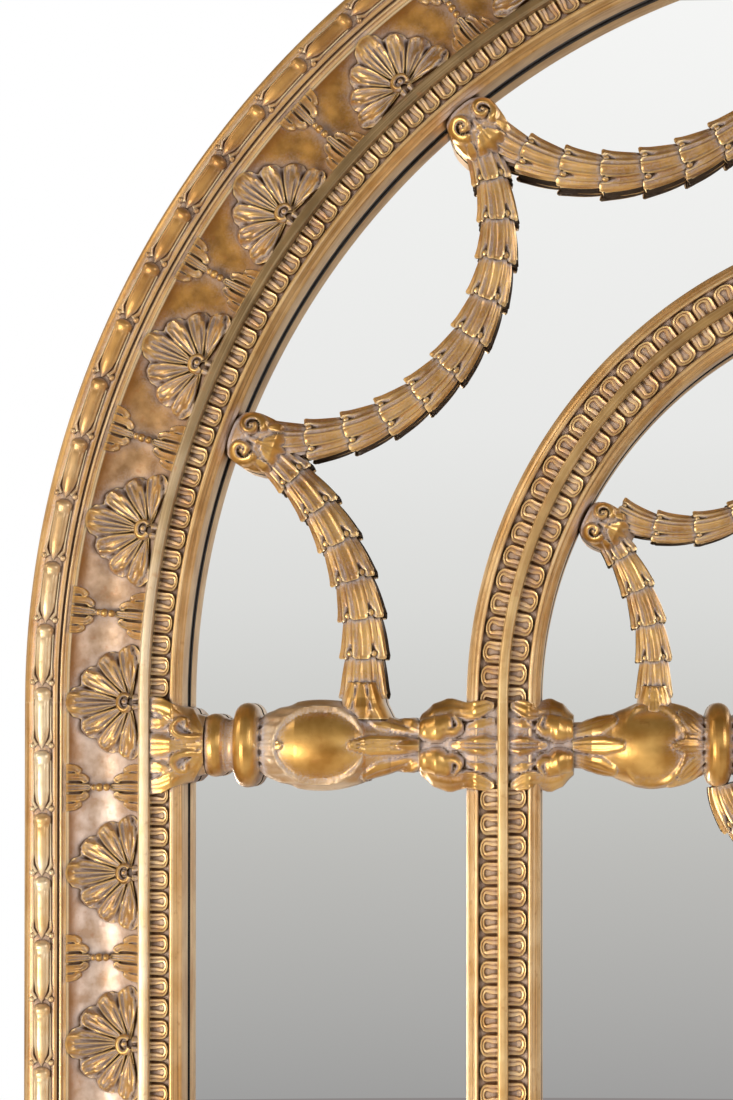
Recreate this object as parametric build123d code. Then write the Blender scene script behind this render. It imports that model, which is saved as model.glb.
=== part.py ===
"""Gilded arched mirror: frame mouldings, inner arch with mullions, rail, husk swags, plate and back.

Millimetres. +Z is up, the front faces -Y and the wall is the plane y = 0.
The origin lies on the wall, midway between the two hanger pivots.
"""
from build123d import *
import os
from math import cos, radians, sin, sqrt

os.makedirs("parts", exist_ok=True)

# Overall size and levels
overall_w = 1220.0          # outer width
overall_h = 1830.0          # bottom edge to crown
spring_over_hangers = 90.0  # the arch springs this far above the hanger pivots
wall_gap = 8.0              # air behind the carcass, set by the wall bumpers
rebate_deep = 12.0          # carcass back to the front of the plate
overrun = 4.0               # how far cutting blocks run past what they cut
glue_gap = 0.05             # radial play of a dowel or screw in its hole

half_w = overall_w / 2
spring_z = spring_over_hangers
bottom_z = spring_z + half_w - overall_h
side_len = spring_z - bottom_z
glass_y = -(wall_gap + rebate_deep)
back_y = -wall_gap

# Carcass: L-shaped members with a rebate for the plate
skirt_t = 6.0               # gilded side skirt outside the carcass
carcass_over = 16.0         # carcass front above the plate's front
rebate_w = 11.0             # width of the rebate behind the sight edge
lip_t = 3.0                 # inner skirt of the sight moulding

# Bead moulding, from the outer edge inwards; heights are above the plate's front
bead_w = 30.5
skirt_short = 2.0           # the skirt stops short of the carcass back
side_h = 21.0
ovolo_w = 7.0
bead_step = 1.6
bead_d = 12.4
bead_mid_h = 38.5
rim_w = 2.4
rim_h = 39.5
groove_w = 2.2
groove_h = 36.0

# Cove moulding
cove_w = 48.0
cove_low_h = 23.0
cove_top_h = 42.0
cove_low_share = 0.42       # place of the lowest point across the cove

# Raised fillets
fillet_w = 6.7
fillet_h = 46.0
fillet_edge = 1.0

# Sight moulding
strip_w = 13.3
strip_h = 36.5
rim2_w = 2.0
rim2_h = 39.0
ogee_w = 4.5
sight_lip_h = 28.0
ogee_mid_share = 0.45       # where the ogee turns, across and down
lip_gap = 0.3               # the lip stops just above the plate

# Inner arch and mullions
side_pane_w = 185.5         # from the sight edge to the inner arch
ring_w = 48.0
ring_gap = 1.0              # felt pad thickness
ring_lip_h = 27.5
ring_edge_w = 7.0
ring_rim_w = 1.6
ring_rim_h = 37.0
ring_strip_h = 34.0
ring_fillet_seat = 30.0
ring_fillet_h = 43.0

# Rail across the spring line, elements from the frame inwards
rail_drop = 28.0            # rail axis below the spring line
rail_over = 16.0            # rail axis above the plate
neck_r = 17.3
cup_len = 33.0
cup_r = 27.5
cup_body_share = 0.6        # the cup keeps its full width over this much of its length
small_torus_w = 13.7
small_torus_r = 20.5
cove_neck_w = 6.6
big_torus_w = 15.7
big_torus_r = 27.8
collar_w = 1.6
vase_len = 65.4
vase_r = 28.8
calyx_len = 38.6
calyx_r = 21.5
scroll_r = 27.5
scroll_end_r = 23.0
inner_vase_len = 56.9
inner_calyx_len = 28.0
inner_scroll_len = 41.9
rosette_r = 36.0
rosette_h = 43.0
rosette_boss_r = 13.0
rosette_boss_h = 6.0

# Husk swags
swag_over = 13.0            # husk axis above the plate
swag_seat = 1.2             # flat back above the plate
husk_r = 15.6
husk_neck_r = 11.6
husk_len = 26.5
husk_step = 1.6             # length over which a tip drops to the next neck
inner_husk_r = 12.6
inner_husk_neck_r = 9.4
inner_husk_len = 21.0
swag_end_in = 22.7          # an outer swag ends this far inside the sight edge
swag_short_deg = 0.56       # and this far short of its bracket's angle
swag_half_deg = 60.0        # half of the arc that it hangs in
crown_end_in = 29.5
crown_short_deg = 0.65
crown_half_deg = 54.0
inner_end_in = 18.2
inner_short_deg = 2.92
inner_half_deg = 72.0
drop_end_in = 23.4
drop_short_deg = 0.36
drop_in = 117.0             # an outer drop hangs straight this far inside the sight edge
drop_deg = 52.0
inner_drop_end_in = 12.6
inner_drop_short_deg = 0.13
inner_drop_in = 74.1
inner_drop_deg = 40.0
festoon_r = 138.0
festoon_half_deg = 62.0
festoon_end_drop = 32.0     # below the rail axis

# Brackets
bracket_degs = (20.4, 50.2, 80.3)
inner_bracket_degs = (26.5, 68.8)
bracket_w = 34.0
bracket_len = 40.0
bracket_over = 3.0          # reach over the sight edge
bracket_h = 38.0
volute_r = 9.0
volute_apart = 20.0         # between the centres of a pair
volute_h = 42.0
inner_bracket_share = 0.78  # inner brackets are smaller by this
bracket_arc_deg = 16.0

# Shells and bows in the cove
shell_deg = 12.0            # one shell pitch on the arch
shell_pitch = 111.0         # on the stiles and the bottom, rounded to fit their length
shell_r = 35.0
shell_notch = 2.6           # depth of the notches between its lobes
shell_lobes = 9
shell_fan_deg = 190.0
shell_boss_r = 7.5
shell_mid_h = 32.0          # crown of the shell across the cove
bow_w = 34.0
bow_waist = 5.0
bow_mid_h = 29.0
trim_seat = 0.25            # glue line under a shell or bow

# Plate and back
plate_t = 4.0
plate_play = 2.0            # between the plate's edge and the rebate wall
board_t = 5.0
board_play = 1.0
block_len = 60.0
block_x = 300.0
pad_r = 9.0
arch_pads = 5
mullion_pads = 5
clip_t = 1.2
clip_w = 14.0
clip_foot = 15.0
clip_tongue = 9.0
clip_play = 0.2
clip_arch_deg = 24.0
clip_spacing = 250.0
clip_bottom_x = 250.0

# Dowels, joint plates and screws
dowel_r = 3.0
dowel_len = 49.0
dowel_end = 1.0             # hollow left past each end
carcass_dowel_in = 30.0
carcass_dowel_apart = 42.0
carcass_dowel_over = 6.0    # above the plate's front
rail_dowel_over = 9.0
rail_dowel_in = 7.5         # middle of a rail dowel inside the sight edge
ring_dowel_over = 20.0
ring_dowel_in = 2.0
joint_plate_len = 100.0
joint_plate_w = 20.0
joint_plate_t = 1.5
joint_plate_in = 51.0
joint_screw_places = (14.0, 40.0)
screw_r = 1.75
screw_len = 12.0
screw_head_r = 3.2
screw_head_t = 1.5
clip_screw_in = 7.0         # from the clip's outer end

# Wall bumpers and hangers
bumper_r = 11.0
bumper_in = 48.0
bumper_rise = 130.0         # lower bumpers above the bottom edge
bumper_arch_deg = 48.0
bumper_well_r = 4.2
bumper_floor = 3.0
hanger_in = 48.0
strap_t = 1.5
strap_w = 20.0
strap_len = 60.0
loop_w = 14.0
loop_in_r = 2.1
loop_wall = 1.5
loop_lift = 0.2             # the rolled loop stands off the carcass
ring_wire_r = 2.0
ring_bow_r = 13.0
ring_leg = 7.0
ring_bend_r = 4.0
strap_screw_places = (36.0, 50.0)

quarter = 90.0
half_turn = 180.0
round_share = sqrt(1 / 2)   # middle of a quarter round


# Places round the frame. Pieces are drawn at the left side, then turned to where they go.
def arch_at(angle):
    """Turn a piece drawn at the left side to an angle of the arch, 0 at the left spring."""
    return Pos(0, 0, spring_z) * Rot(0, angle, 0)


def left_at(z):
    return Pos(0, 0, z)


def right_at(z):
    return Pos(0, 0, z) * Rot(0, half_turn, 0)


def bottom_at(x):
    return Pos(x, 0, bottom_z + half_w) * Rot(0, -quarter, 0)


def front(h):
    """Depth of a height above the plate's front."""
    return glass_y - h


def flipped(shape):
    return mirror(shape, about=Plane.YZ)


def face_of(steps, place):
    """Close straight steps (u, h) and arc steps (u, h, u, h) into a face."""
    edges = []
    here = steps[0][-2:]
    for step in list(steps[1:]) + [steps[0]]:
        end = step[-2:]
        if len(step) > 2:
            edges += [ThreePointArc(place(*here), place(*step[:2]), place(*end))]
        elif end != here:
            edges += [Line(place(*here), place(*end))]
        here = end
    return make_face(edges)


def frame_place(u, h):
    """u runs inwards from the outer edge, h forwards from the plate."""
    return Vector(u - half_w, front(h), 0)


def ring_place(v, h):
    """v runs inwards from the inner arch's centreline."""
    return Vector(v - ring_r, front(h), 0)


def solids(shapes):
    """Gather shapes as one compound of separate solids."""
    return Compound([solid for shape in shapes for solid in shape.solids()])


def one(shape):
    """The single solid of a boolean's result."""
    found = sorted(shape.solids(), key=lambda s: s.volume)
    return found[-1]


nodes = {}


def keep(name, shape):
    nodes[name] = shape


# Mitre wedges: what belongs to the bottom length, out of the two side runs
frame_w = bead_w + cove_w + fillet_w + strip_w + rim2_w + ogee_w
sight_r = half_w - frame_w
ring_r = sight_r - side_pane_w - ring_w / 2
mitre_reach = frame_w + overrun
wedge_points = [
    (-half_w - overrun, bottom_z - overrun),
    (half_w + overrun, bottom_z - overrun),
    (half_w - mitre_reach, bottom_z + mitre_reach),
    (-half_w + mitre_reach, bottom_z + mitre_reach),
]
wedge_face = make_face(Polyline([Vector(x, overrun, z) for x, z in wedge_points], close=True))
bottom_wedge = extrude(wedge_face, amount=half_w, dir=(0, -1, 0))


def frame_runs(face):
    """One moulding section as an arch quarter, a left stile and a bottom length."""
    arch = arch_at(0) * revolve(face, Axis.Y, quarter)
    stile = left_at(spring_z) * extrude(face, amount=side_len, dir=(0, 0, -1)) - bottom_wedge
    bottom = bottom_at(0) * extrude(face, amount=half_w, both=True) & bottom_wedge
    return one(arch), one(stile), one(bottom)


# Dowels and their holes
dowel = Cylinder(dowel_r, dowel_len)
dowel_hole = Cylinder(dowel_r + glue_gap, dowel_len + dowel_end + dowel_end)
along_x = Rot(0, quarter, 0)
carcass_dowel_us = (carcass_dowel_in, carcass_dowel_in + carcass_dowel_apart)
carcass_dowel_y = front(carcass_dowel_over)
carcass_dowels = []
for u in carcass_dowel_us:
    carcass_dowels += [Pos(0, carcass_dowel_y, spring_z + half_w - u) * along_x]
    for side in (-1, 1):
        carcass_dowels += [
            Pos(side * (half_w - u), carcass_dowel_y, spring_z),
            Pos(side * (half_w - u), carcass_dowel_y, bottom_z + u) * Rot(0, side * quarter / 2, 0),
        ]
rail_z = spring_z - rail_drop
rail_dowel_y = front(rail_dowel_over)
ring_out = ring_r + ring_w / 2
ring_in = ring_r - ring_w / 2
tracery_dowels = [Pos(0, front(ring_dowel_over), spring_z + ring_r) * along_x]
rail_dowels = []
for side in (-1, 1):
    tracery_dowels += [
        Pos(side * ring_r, front(ring_dowel_over), spring_z),
        Pos(side * ring_r, rail_dowel_y, bottom_z + frame_w),
    ]
    for x in (sight_r - rail_dowel_in, ring_out + ring_dowel_in, ring_in - ring_dowel_in):
        rail_dowels += [Pos(side * x, rail_dowel_y, rail_z) * along_x]
all_dowels = carcass_dowels + tracery_dowels + rail_dowels


def near(shape, place, reach):
    """Whether a place lies within reach of a shape's box."""
    box = shape.bounding_box()
    p = place.position
    return (box.min.X - reach < p.X < box.max.X + reach and box.min.Z - reach < p.Z < box.max.Z + reach)


def drilled(shape):
    """Cut the holes of every dowel that reaches a shape."""
    for place in all_dowels:
        if near(shape, place, dowel_len):
            shape = shape - place * dowel_hole
    return one(shape)


keep("wood_dowels", solids([place * dowel for place in all_dowels]))

# Screws on the back, as places whose local -Y enters the wood
screw = Pos(0, -screw_len / 2, 0) * Rot(quarter, 0, 0) * Cylinder(screw_r, screw_len)
screw += Pos(0, screw_head_t / 2, 0) * Rot(quarter, 0, 0) * Cylinder(screw_head_r, screw_head_t)
screw_hole = Rot(quarter, 0, 0) * Cylinder(screw_r + glue_gap, (screw_len + dowel_end) * 2)

joint_x = joint_plate_in - half_w
joint_places = [
    arch_at(quarter) * Pos(joint_x, 0, 0),
    arch_at(0) * Pos(joint_x, 0, 0),
    arch_at(half_turn) * Pos(joint_x, 0, 0),
    Pos(-half_w + joint_plate_in, 0, bottom_z + joint_plate_in) * Rot(0, -quarter / 2, 0),
    Pos(half_w - joint_plate_in, 0, bottom_z + joint_plate_in) * Rot(0, quarter / 2, 0),
]
plate_screw_y = back_y + joint_plate_t
joint_screws = []
for place in joint_places:
    for z in joint_screw_places:
        joint_screws += [place * Pos(0, plate_screw_y, z), place * Pos(0, plate_screw_y, -z)]
joint_plate = Pos(0, back_y + joint_plate_t / 2, 0) * Box(joint_plate_w, joint_plate_t, joint_plate_len)
keep("joint_plates", solids([
    place * joint_plate - [s * screw_hole for s in joint_screws] for place in joint_places
]))

# Board clips: a foot on the carcass, a step down the rebate, a tongue on the board
rebate_u = frame_w - lip_t - rebate_w
board_back_y = glass_y + plate_t + board_t
clip_step = rebate_u + clip_play
clip_points = [
    (clip_step + clip_t, back_y + clip_t),
    (rebate_u - clip_foot, back_y + clip_t),
    (rebate_u - clip_foot, back_y),
    (clip_step, back_y),
    (clip_step, board_back_y),
    (clip_step + clip_tongue, board_back_y),
    (clip_step + clip_tongue, board_back_y + clip_t),
    (clip_step + clip_t, board_back_y + clip_t),
]
clip_face = make_face(Polyline([Vector(u - half_w, y, 0) for u, y in clip_points], close=True))
clip_screw_x = rebate_u - clip_foot + clip_screw_in - half_w
clip_screw_place = Pos(clip_screw_x, back_y + clip_t, 0)
clip = extrude(clip_face, amount=clip_w / 2, both=True) - clip_screw_place * screw_hole
arch_clips = round(half_turn / clip_arch_deg)
clip_places = [arch_at((i + 1 / 2) * half_turn / arch_clips) for i in range(arch_clips)]
side_clips = int(side_len / clip_spacing)
for i in range(side_clips):
    clip_places += [left_at(spring_z - (i + 1 / 2) * clip_spacing), right_at(spring_z - (i + 1 / 2) * clip_spacing)]
clip_places += [bottom_at(x) for x in (-clip_bottom_x, 0, clip_bottom_x)]
clip_screws = [place * clip_screw_place for place in clip_places]
keep("board_clips", solids([place * clip for place in clip_places]))

# Wall bumpers, each with a sunk screw
bumper_x = bumper_in - half_w
bumper_low_z = bottom_z + bumper_rise
bumper_places = [
    left_at(bumper_low_z) * Pos(bumper_x, 0, 0),
    right_at(bumper_low_z) * Pos(bumper_x, 0, 0),
    arch_at(bumper_arch_deg) * Pos(bumper_x, 0, 0),
    arch_at(half_turn - bumper_arch_deg) * Pos(bumper_x, 0, 0),
]
bumper_screw_y = back_y + bumper_floor
bumper_screws = [place * Pos(0, bumper_screw_y, 0) for place in bumper_places]
bumper = Pos(0, back_y / 2, 0) * Rot(quarter, 0, 0) * Cylinder(bumper_r, wall_gap)
well_t = wall_gap - bumper_floor
bumper -= Pos(0, bumper_screw_y + well_t / 2, 0) * Rot(quarter, 0, 0) * Cylinder(bumper_well_r, well_t)
bumper -= Pos(0, back_y, 0) * screw_hole
keep("wall_bumpers", solids([place * bumper for place in bumper_places]))

# Strap hangers: a flat strap with a rolled loop at the pivot, and a wire ring that hangs from it
hanger_x = hanger_in - half_w
loop_out_r = loop_in_r + loop_wall
pivot_y = back_y + loop_lift + loop_out_r
strap_mid_y = back_y + strap_t / 2
strap_screw_y = back_y + strap_t
hanger_screws = [
    Pos(side * hanger_x, strap_screw_y, -z) for side in (1, -1) for z in strap_screw_places
]
loop = Pos(0, pivot_y, 0) * along_x * (Cylinder(loop_out_r, loop_w) - Cylinder(loop_in_r, loop_w + overrun))
strap_top = loop_in_r + loop_wall / 2
strap = Pos(0, strap_mid_y, -(strap_len + strap_top) / 2) * Box(strap_w, strap_t, strap_len - strap_top)
tab_z = strap_top + overrun
tab = Pos(0, strap_mid_y, -tab_z / 2) * Box(loop_w, strap_t, tab_z)
bore = Pos(0, pivot_y, 0) * along_x * Cylinder(loop_in_r, loop_w + overrun)
hanger_strap = one(strap + (tab + loop - bore))
all_back_screws = joint_screws + clip_screws + bumper_screws + hanger_screws
ring_half_w = ring_bow_r
bow = Pos(0, 0, -ring_bend_r - ring_leg) * revolve(
    Pos(ring_half_w, 0, 0) * Circle(ring_wire_r), Axis.Y, half_turn)
leg = Pos(ring_half_w, 0, -ring_bend_r - ring_leg / 2) * Cylinder(ring_wire_r, ring_leg)
bend_x = ring_half_w - ring_bend_r
bend = Pos(bend_x, 0, -ring_bend_r) * revolve(Pos(ring_bend_r, 0, 0) * Circle(ring_wire_r), Axis.Y, -quarter)
bar = along_x * Cylinder(ring_wire_r, bend_x * 2)
d_ring = Pos(0, pivot_y, 0) * one(bow + leg + flipped(leg) + bend + flipped(bend) + bar)
hanger_straps = []
for side, side_name in ((1, "left"), (-1, "right")):
    place = Pos(side * hanger_x, 0, 0)
    keep("hanger_ring_" + side_name, one(place * d_ring))
    hanger_straps += [one(place * hanger_strap - [s * screw_hole for s in hanger_screws])]
keep("hanger_straps", solids(hanger_straps))
keep("wood_screws", solids([place * screw for place in all_back_screws]))


def screwed(shape):
    """Cut the holes of every back screw that reaches a shape."""
    holes = [place * screw_hole for place in all_back_screws if near(shape, place, screw_head_r)]
    return one(shape - holes) if holes else shape


# Carcass members
carcass_in = frame_w - lip_t
carcass_face = face_of([
    (skirt_t, -rebate_deep), (rebate_u, -rebate_deep), (rebate_u, 0), (carcass_in, 0),
    (carcass_in, carcass_over), (skirt_t, carcass_over),
], frame_place)
carcass_arch, carcass_stile, carcass_bottom = frame_runs(carcass_face)
keep("carcass_arch_left", screwed(drilled(carcass_arch)))
keep("carcass_arch_right", screwed(drilled(flipped(carcass_arch))))
keep("carcass_stile_left", screwed(drilled(carcass_stile)))
keep("carcass_stile_right", screwed(drilled(flipped(carcass_stile))))
keep("carcass_bottom_rail", screwed(drilled(carcass_bottom)))

# Bead moulding with its side skirt
ovolo_h = side_h + ovolo_w
bead_in = ovolo_w + bead_step
bead_out = bead_in + bead_d
rim_u = bead_w - groove_w - rim_w
bead_face = face_of([
    (0, skirt_short - rebate_deep), (0, side_h),
    (ovolo_w * (1 - round_share), side_h + ovolo_w * round_share, ovolo_w, ovolo_h),
    (bead_in, ovolo_h), (bead_in, bead_mid_h),
    ((bead_in + bead_out) / 2, bead_mid_h + bead_d / 2, bead_out, bead_mid_h),
    (bead_out, groove_h), (rim_u, groove_h), (rim_u, rim_h), (rim_u + rim_w, rim_h),
    (rim_u + rim_w, groove_h), (bead_w, groove_h), (bead_w, carcass_over),
    (skirt_t, carcass_over), (skirt_t, skirt_short - rebate_deep),
], frame_place)

# Cove moulding
cove_in = bead_w
cove_out = bead_w + cove_w
cove_low_u = cove_in + cove_w * cove_low_share
cove_line = [(cove_low_u, cove_low_h, cove_out, cove_top_h)]
cove_face = face_of([
    (cove_in, groove_h), *cove_line, (cove_out, carcass_over), (cove_in, carcass_over),
], frame_place)

# Sight moulding: tongue strip, thin rim, ogee and lip
sight_in = cove_out + fillet_w
rim2_u = sight_in + strip_w
ogee_u = rim2_u + rim2_w
ogee_mid_u = ogee_u + ogee_w * ogee_mid_share
ogee_mid_h = rim2_h - (rim2_h - sight_lip_h) * ogee_mid_share
sight_face = face_of([
    (sight_in, strip_h), (rim2_u, strip_h), (rim2_u, rim2_h), (ogee_u, rim2_h),
    (ogee_mid_u, ogee_mid_h), (frame_w, sight_lip_h), (frame_w, lip_gap),
    (carcass_in, lip_gap), (carcass_in, carcass_over), (sight_in, carcass_over),
], frame_place)


def moulding(name, face):
    arch, stile, bottom = frame_runs(face)
    keep(name + "_arch_left", drilled(arch))
    keep(name + "_arch_right", drilled(flipped(arch)))
    keep(name + "_stile_left", drilled(stile))
    keep(name + "_stile_right", drilled(flipped(stile)))
    keep(name + "_bottom", drilled(bottom))


moulding("bead_moulding", bead_face)
moulding("cove_moulding", cove_face)
moulding("sight_moulding", sight_face)
frame_fillet_face = face_of([
    (cove_out, carcass_over), (cove_out, fillet_h - fillet_edge), (cove_out + fillet_edge, fillet_h),
    (sight_in - fillet_edge, fillet_h), (sight_in, fillet_h - fillet_edge), (sight_in, carcass_over),
], frame_place)
fillet_arch, fillet_stile, fillet_bottom = frame_runs(frame_fillet_face)

# Inner arch and mullions: the same section turned round the arch and drawn down
edge = ring_w / 2
fillet_half = fillet_w / 2
edge_in = edge - ring_edge_w
rim_out = edge_in + ring_rim_w
half_line = [
    (fillet_half, ring_fillet_seat), (fillet_half, ring_strip_h), (edge_in, ring_strip_h), (edge_in, ring_rim_h),
    (rim_out, ring_rim_h), (edge - (edge - rim_out) * (1 - ogee_mid_share), ring_strip_h), (edge, ring_lip_h),
    (edge, ring_gap),
]
ring_face = face_of([(-v, h) for v, h in reversed(half_line)] + half_line, ring_place)
ring_fillet_face = face_of([
    (-fillet_half, ring_fillet_seat), (-fillet_half, ring_fillet_h - fillet_edge),
    (fillet_edge - fillet_half, ring_fillet_h), (fillet_half - fillet_edge, ring_fillet_h),
    (fillet_half, ring_fillet_h - fillet_edge), (fillet_half, ring_fillet_seat),
], ring_place)
sight_bottom = nodes["sight_moulding_bottom"]
mullion_len = side_len - frame_w + ogee_w + rim2_w


def ring_run(face):
    """The arch quarter and the mullion of one inner section, on the left."""
    arch = arch_at(0) * revolve(face, Axis.Y, quarter)
    mullion = left_at(spring_z) * extrude(face, amount=mullion_len, dir=(0, 0, -1)) - sight_bottom
    return one(arch), one(mullion)


inner_arch, mullion = ring_run(ring_face)
inner_fillet_arch, inner_fillet_mullion = ring_run(ring_fillet_face)
inner_arch = drilled(inner_arch)
mullion = drilled(mullion)
keep("inner_arch_left", inner_arch)
keep("inner_arch_right", flipped(inner_arch))
keep("mullion_left", mullion)
keep("mullion_right", flipped(mullion))
left_fillets = [fillet_arch, fillet_stile, inner_fillet_arch, inner_fillet_mullion]
keep("raised_fillets", solids(left_fillets + [flipped(s) for s in left_fillets] + [fillet_bottom]))

# Rail: turned pieces about one axis, cut flat behind so that they lie clear of the plate
rail_y = front(rail_over)
back_block = Pos(0, front(ring_gap) + half_w / 2, 0) * Box(overall_w, half_w, overall_h + overall_h)


def turned(x, steps):
    """Turn (along, radius) steps about the rail axis, starting at x and running inwards."""
    end = steps[-1][-2]
    line = [(0, 0)] + list(steps) + [(end, 0)]
    face = face_of(line, lambda a, r: Vector(x + a, 0, r))
    return Pos(0, rail_y, rail_z) * revolve(face, Axis.X) - back_block


def torus_step(a, w, r):
    return [(a + w / 2, r, a + w, neck_r)]


cup_x = sight_in - half_w
spindle_x = cup_x + cup_len
cup_body = cup_len * cup_body_share
cup = turned(cup_x, [
    (0, cup_r), (cup_body, cup_r), ((cup_body + cup_len) / 2, (cup_r + neck_r) / 2, cup_len, small_torus_r),
])
a_cove = small_torus_w
a_big = a_cove + cove_neck_w
a_collar = a_big + big_torus_w
a_vase = a_collar + collar_w
a_calyx = a_vase + vase_len
spindle_len = a_calyx + calyx_len
left_spindle = turned(spindle_x, [
    (0, neck_r), *torus_step(0, small_torus_w, small_torus_r), (a_big, neck_r),
    *torus_step(a_big, big_torus_w, big_torus_r), (a_vase, neck_r),
    (a_vase + vase_len / 2, vase_r, a_calyx, neck_r), (a_calyx, calyx_r),
    (a_calyx + calyx_len / 2, neck_r, spindle_len, neck_r),
])
scroll_x = spindle_x + spindle_len
ring_seat_x = -ring_r - fillet_half
scroll_len = ring_seat_x - scroll_x
scroll = turned(scroll_x, [(0, neck_r), (scroll_len * 2 / 3, scroll_r, scroll_len, scroll_end_r)])
inner_scroll_x = -ring_r + fillet_half
inner_scroll = turned(inner_scroll_x, [
    (0, scroll_end_r), (inner_scroll_len / 3, scroll_r, inner_scroll_len, neck_r),
])
b_vase = inner_calyx_len
b_torus = b_vase + inner_vase_len + collar_w
b_vase2 = b_torus + big_torus_w + collar_w
b_calyx = b_vase2 + inner_vase_len
inner_spindle_x = inner_scroll_x + inner_scroll_len
b_end = -inner_spindle_x
inner_spindle = turned(inner_spindle_x, [
    (0, neck_r), (inner_calyx_len / 2, neck_r, b_vase, calyx_r), (b_vase, neck_r),
    (b_vase + inner_vase_len / 2, vase_r, b_vase + inner_vase_len, neck_r), (b_torus, neck_r),
    *torus_step(b_torus, big_torus_w, big_torus_r), (b_vase2, neck_r),
    (b_vase2 + inner_vase_len / 2, vase_r, b_calyx, neck_r), (b_calyx, calyx_r),
    ((b_calyx + b_end) / 2, neck_r, b_end, neck_r),
])
rosette_t = rosette_h - ring_gap
rosette = Pos(0, front(ring_gap + rosette_t / 2), rail_z) * Rot(quarter, 0, 0) * Cylinder(rosette_r, rosette_t)
rosette += Pos(0, front(rosette_h + rosette_boss_h / 2), rail_z) * Rot(quarter, 0, 0) * Cylinder(
    rosette_boss_r, rosette_boss_h)
rosette = one(rosette)
inner_spindle = inner_spindle - rosette
sight_stile = nodes["sight_moulding_stile_left"]
sight_arch = nodes["sight_moulding_arch_left"]
cup = one(cup - sight_stile - sight_arch)
scroll = one(scroll - mullion - inner_arch)
inner_scroll = one(inner_scroll - mullion - inner_arch)
cup, scroll, inner_scroll = drilled(cup), drilled(scroll), drilled(inner_scroll)
left_spindle = drilled(one(left_spindle))
inner_spindle = drilled(one(inner_spindle))
keep("rail_frame_cups", solids([cup, flipped(cup)]))
keep("rail_scroll_leaves", solids([scroll, inner_scroll, flipped(scroll), flipped(inner_scroll)]))
keep("rail_spindle_left", left_spindle)
keep("rail_spindle_right", flipped(left_spindle))
keep("rail_spindle_centre_left", inner_spindle)
keep("rail_spindle_centre_right", flipped(inner_spindle))
keep("rail_rosette", rosette)

# Brackets: a cuff block over the lip with two volutes side by side
def bracket_at(edge_r, share):
    """A bracket drawn at the left side of an arch whose inner edge is at edge_r."""
    w = bracket_w * share
    length = bracket_len * share
    x = -edge_r + length / 2 - bracket_over
    block = Pos(x, front((ring_gap + bracket_h) / 2), 0) * Box(length, bracket_h - ring_gap, w)
    block = chamfer(block.edges().filter_by(Axis.Y), w / 4)
    r = volute_r * share
    for side in (-1, 1):
        block += Pos(x - length / 4, front((ring_gap + volute_h) / 2), side * volute_apart * share / 2) * (
            Rot(quarter, 0, 0) * Cylinder(r, volute_h - ring_gap))
    return one(block)


def arc_piece(face):
    """A short stretch of a section round the left side of the arch."""
    return Rot(0, -bracket_arc_deg / 2, 0) * revolve(face, Axis.Y, bracket_arc_deg)


outer_bracket = one(bracket_at(sight_r, 1) - arc_piece(sight_face))
inner_bracket = one(bracket_at(ring_in, inner_bracket_share) - arc_piece(ring_face))
outer_degs = list(bracket_degs) + [half_turn - a for a in reversed(bracket_degs)]
inner_degs = list(inner_bracket_degs) + [half_turn - a for a in reversed(inner_bracket_degs)]
outer_brackets = [arch_at(a) * outer_bracket for a in outer_degs]
inner_brackets = [arch_at(a) * inner_bracket for a in inner_degs]
keep("swag_brackets", solids(outer_brackets))
keep("inner_swag_brackets", solids(inner_brackets))


# Husk chains: cones that flare to their tips and drop to the next neck
def arc_path(cx, cz, r, start_deg, sweep_deg):
    """A path by length along an arc, as (x, z, direction x, direction z)."""
    sign = 1 if sweep_deg > 0 else -1

    def at(s):
        a = radians(start_deg) + sign * s / r
        return cx + r * cos(a), cz + r * sin(a), -sign * sin(a), sign * cos(a)
    return at, abs(radians(sweep_deg)) * r


def husk_chain(path, length, pitch, r, neck):
    count = max(1, round(length / pitch))
    step = length / count
    rings = [(0, neck)]
    for i in range(count):
        rings += [((i + 1) * step - husk_step, r)]
        if i < count - 1:
            rings += [((i + 1) * step, neck)]
    faces = []
    for s, radius in rings:
        x, z, dx, dz = path(s)
        plane = Plane(origin=(x, front(swag_over), z), x_dir=(0, 1, 0), z_dir=(dx, 0, dz))
        faces += [plane * Circle(radius)]
    seat = Pos(0, front(swag_seat) + half_w / 2, 0) * Box(overall_w, half_w, overall_h + overall_h)
    return loft(faces, ruled=True) - seat


def sector(from_deg, to_deg):
    """The wedge of the arch between two angles, which keeps neighbours apart at a bracket."""
    reach = half_w / cos(radians((to_deg - from_deg) / 2))
    points = [(0, spring_z)]
    for a in (from_deg, to_deg):
        points += [(-reach * cos(radians(a)), spring_z + reach * sin(radians(a)))]
    face = make_face(Polyline([Vector(x, 0, z) for x, z in points], close=True))
    return extrude(face, amount=half_w, dir=(0, -1, 0))


def swag_circle(end_r, span_deg, half_deg):
    """Radius of a swag's arc, and of its middle from the arch centre, by where its ends are."""
    r = end_r * sin(radians(span_deg)) / sin(radians(half_deg))
    return r, end_r * cos(radians(span_deg)) + r * cos(radians(half_deg)) - r


def swag_between(low, high, end_r, short_deg, half_deg, sizes):
    """Husks from the upper bracket down to the lower one, bellied towards the arch centre."""
    mid = (low + high) / 2
    r, mid_r = swag_circle(end_r, (high - low) / 2 - short_deg, half_deg)
    cx = -(mid_r + r) * cos(radians(mid))
    cz = spring_z + (mid_r + r) * sin(radians(mid))
    belly = -mid
    path, length = arc_path(cx, cz, r, belly + half_deg, -2 * half_deg)
    return husk_chain(path, length, *sizes) & sector(low, high)


def clasp_at(z, sizes):
    """A short band that holds the two runs of a middle swag together."""
    clasp = Pos(0, front(swag_over), z) * along_x * Cylinder(sizes[2], sizes[0])
    return clasp - Pos(0, front(swag_seat) + half_w / 2, 0) * Box(overall_w, half_w, overall_h + overall_h)


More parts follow.
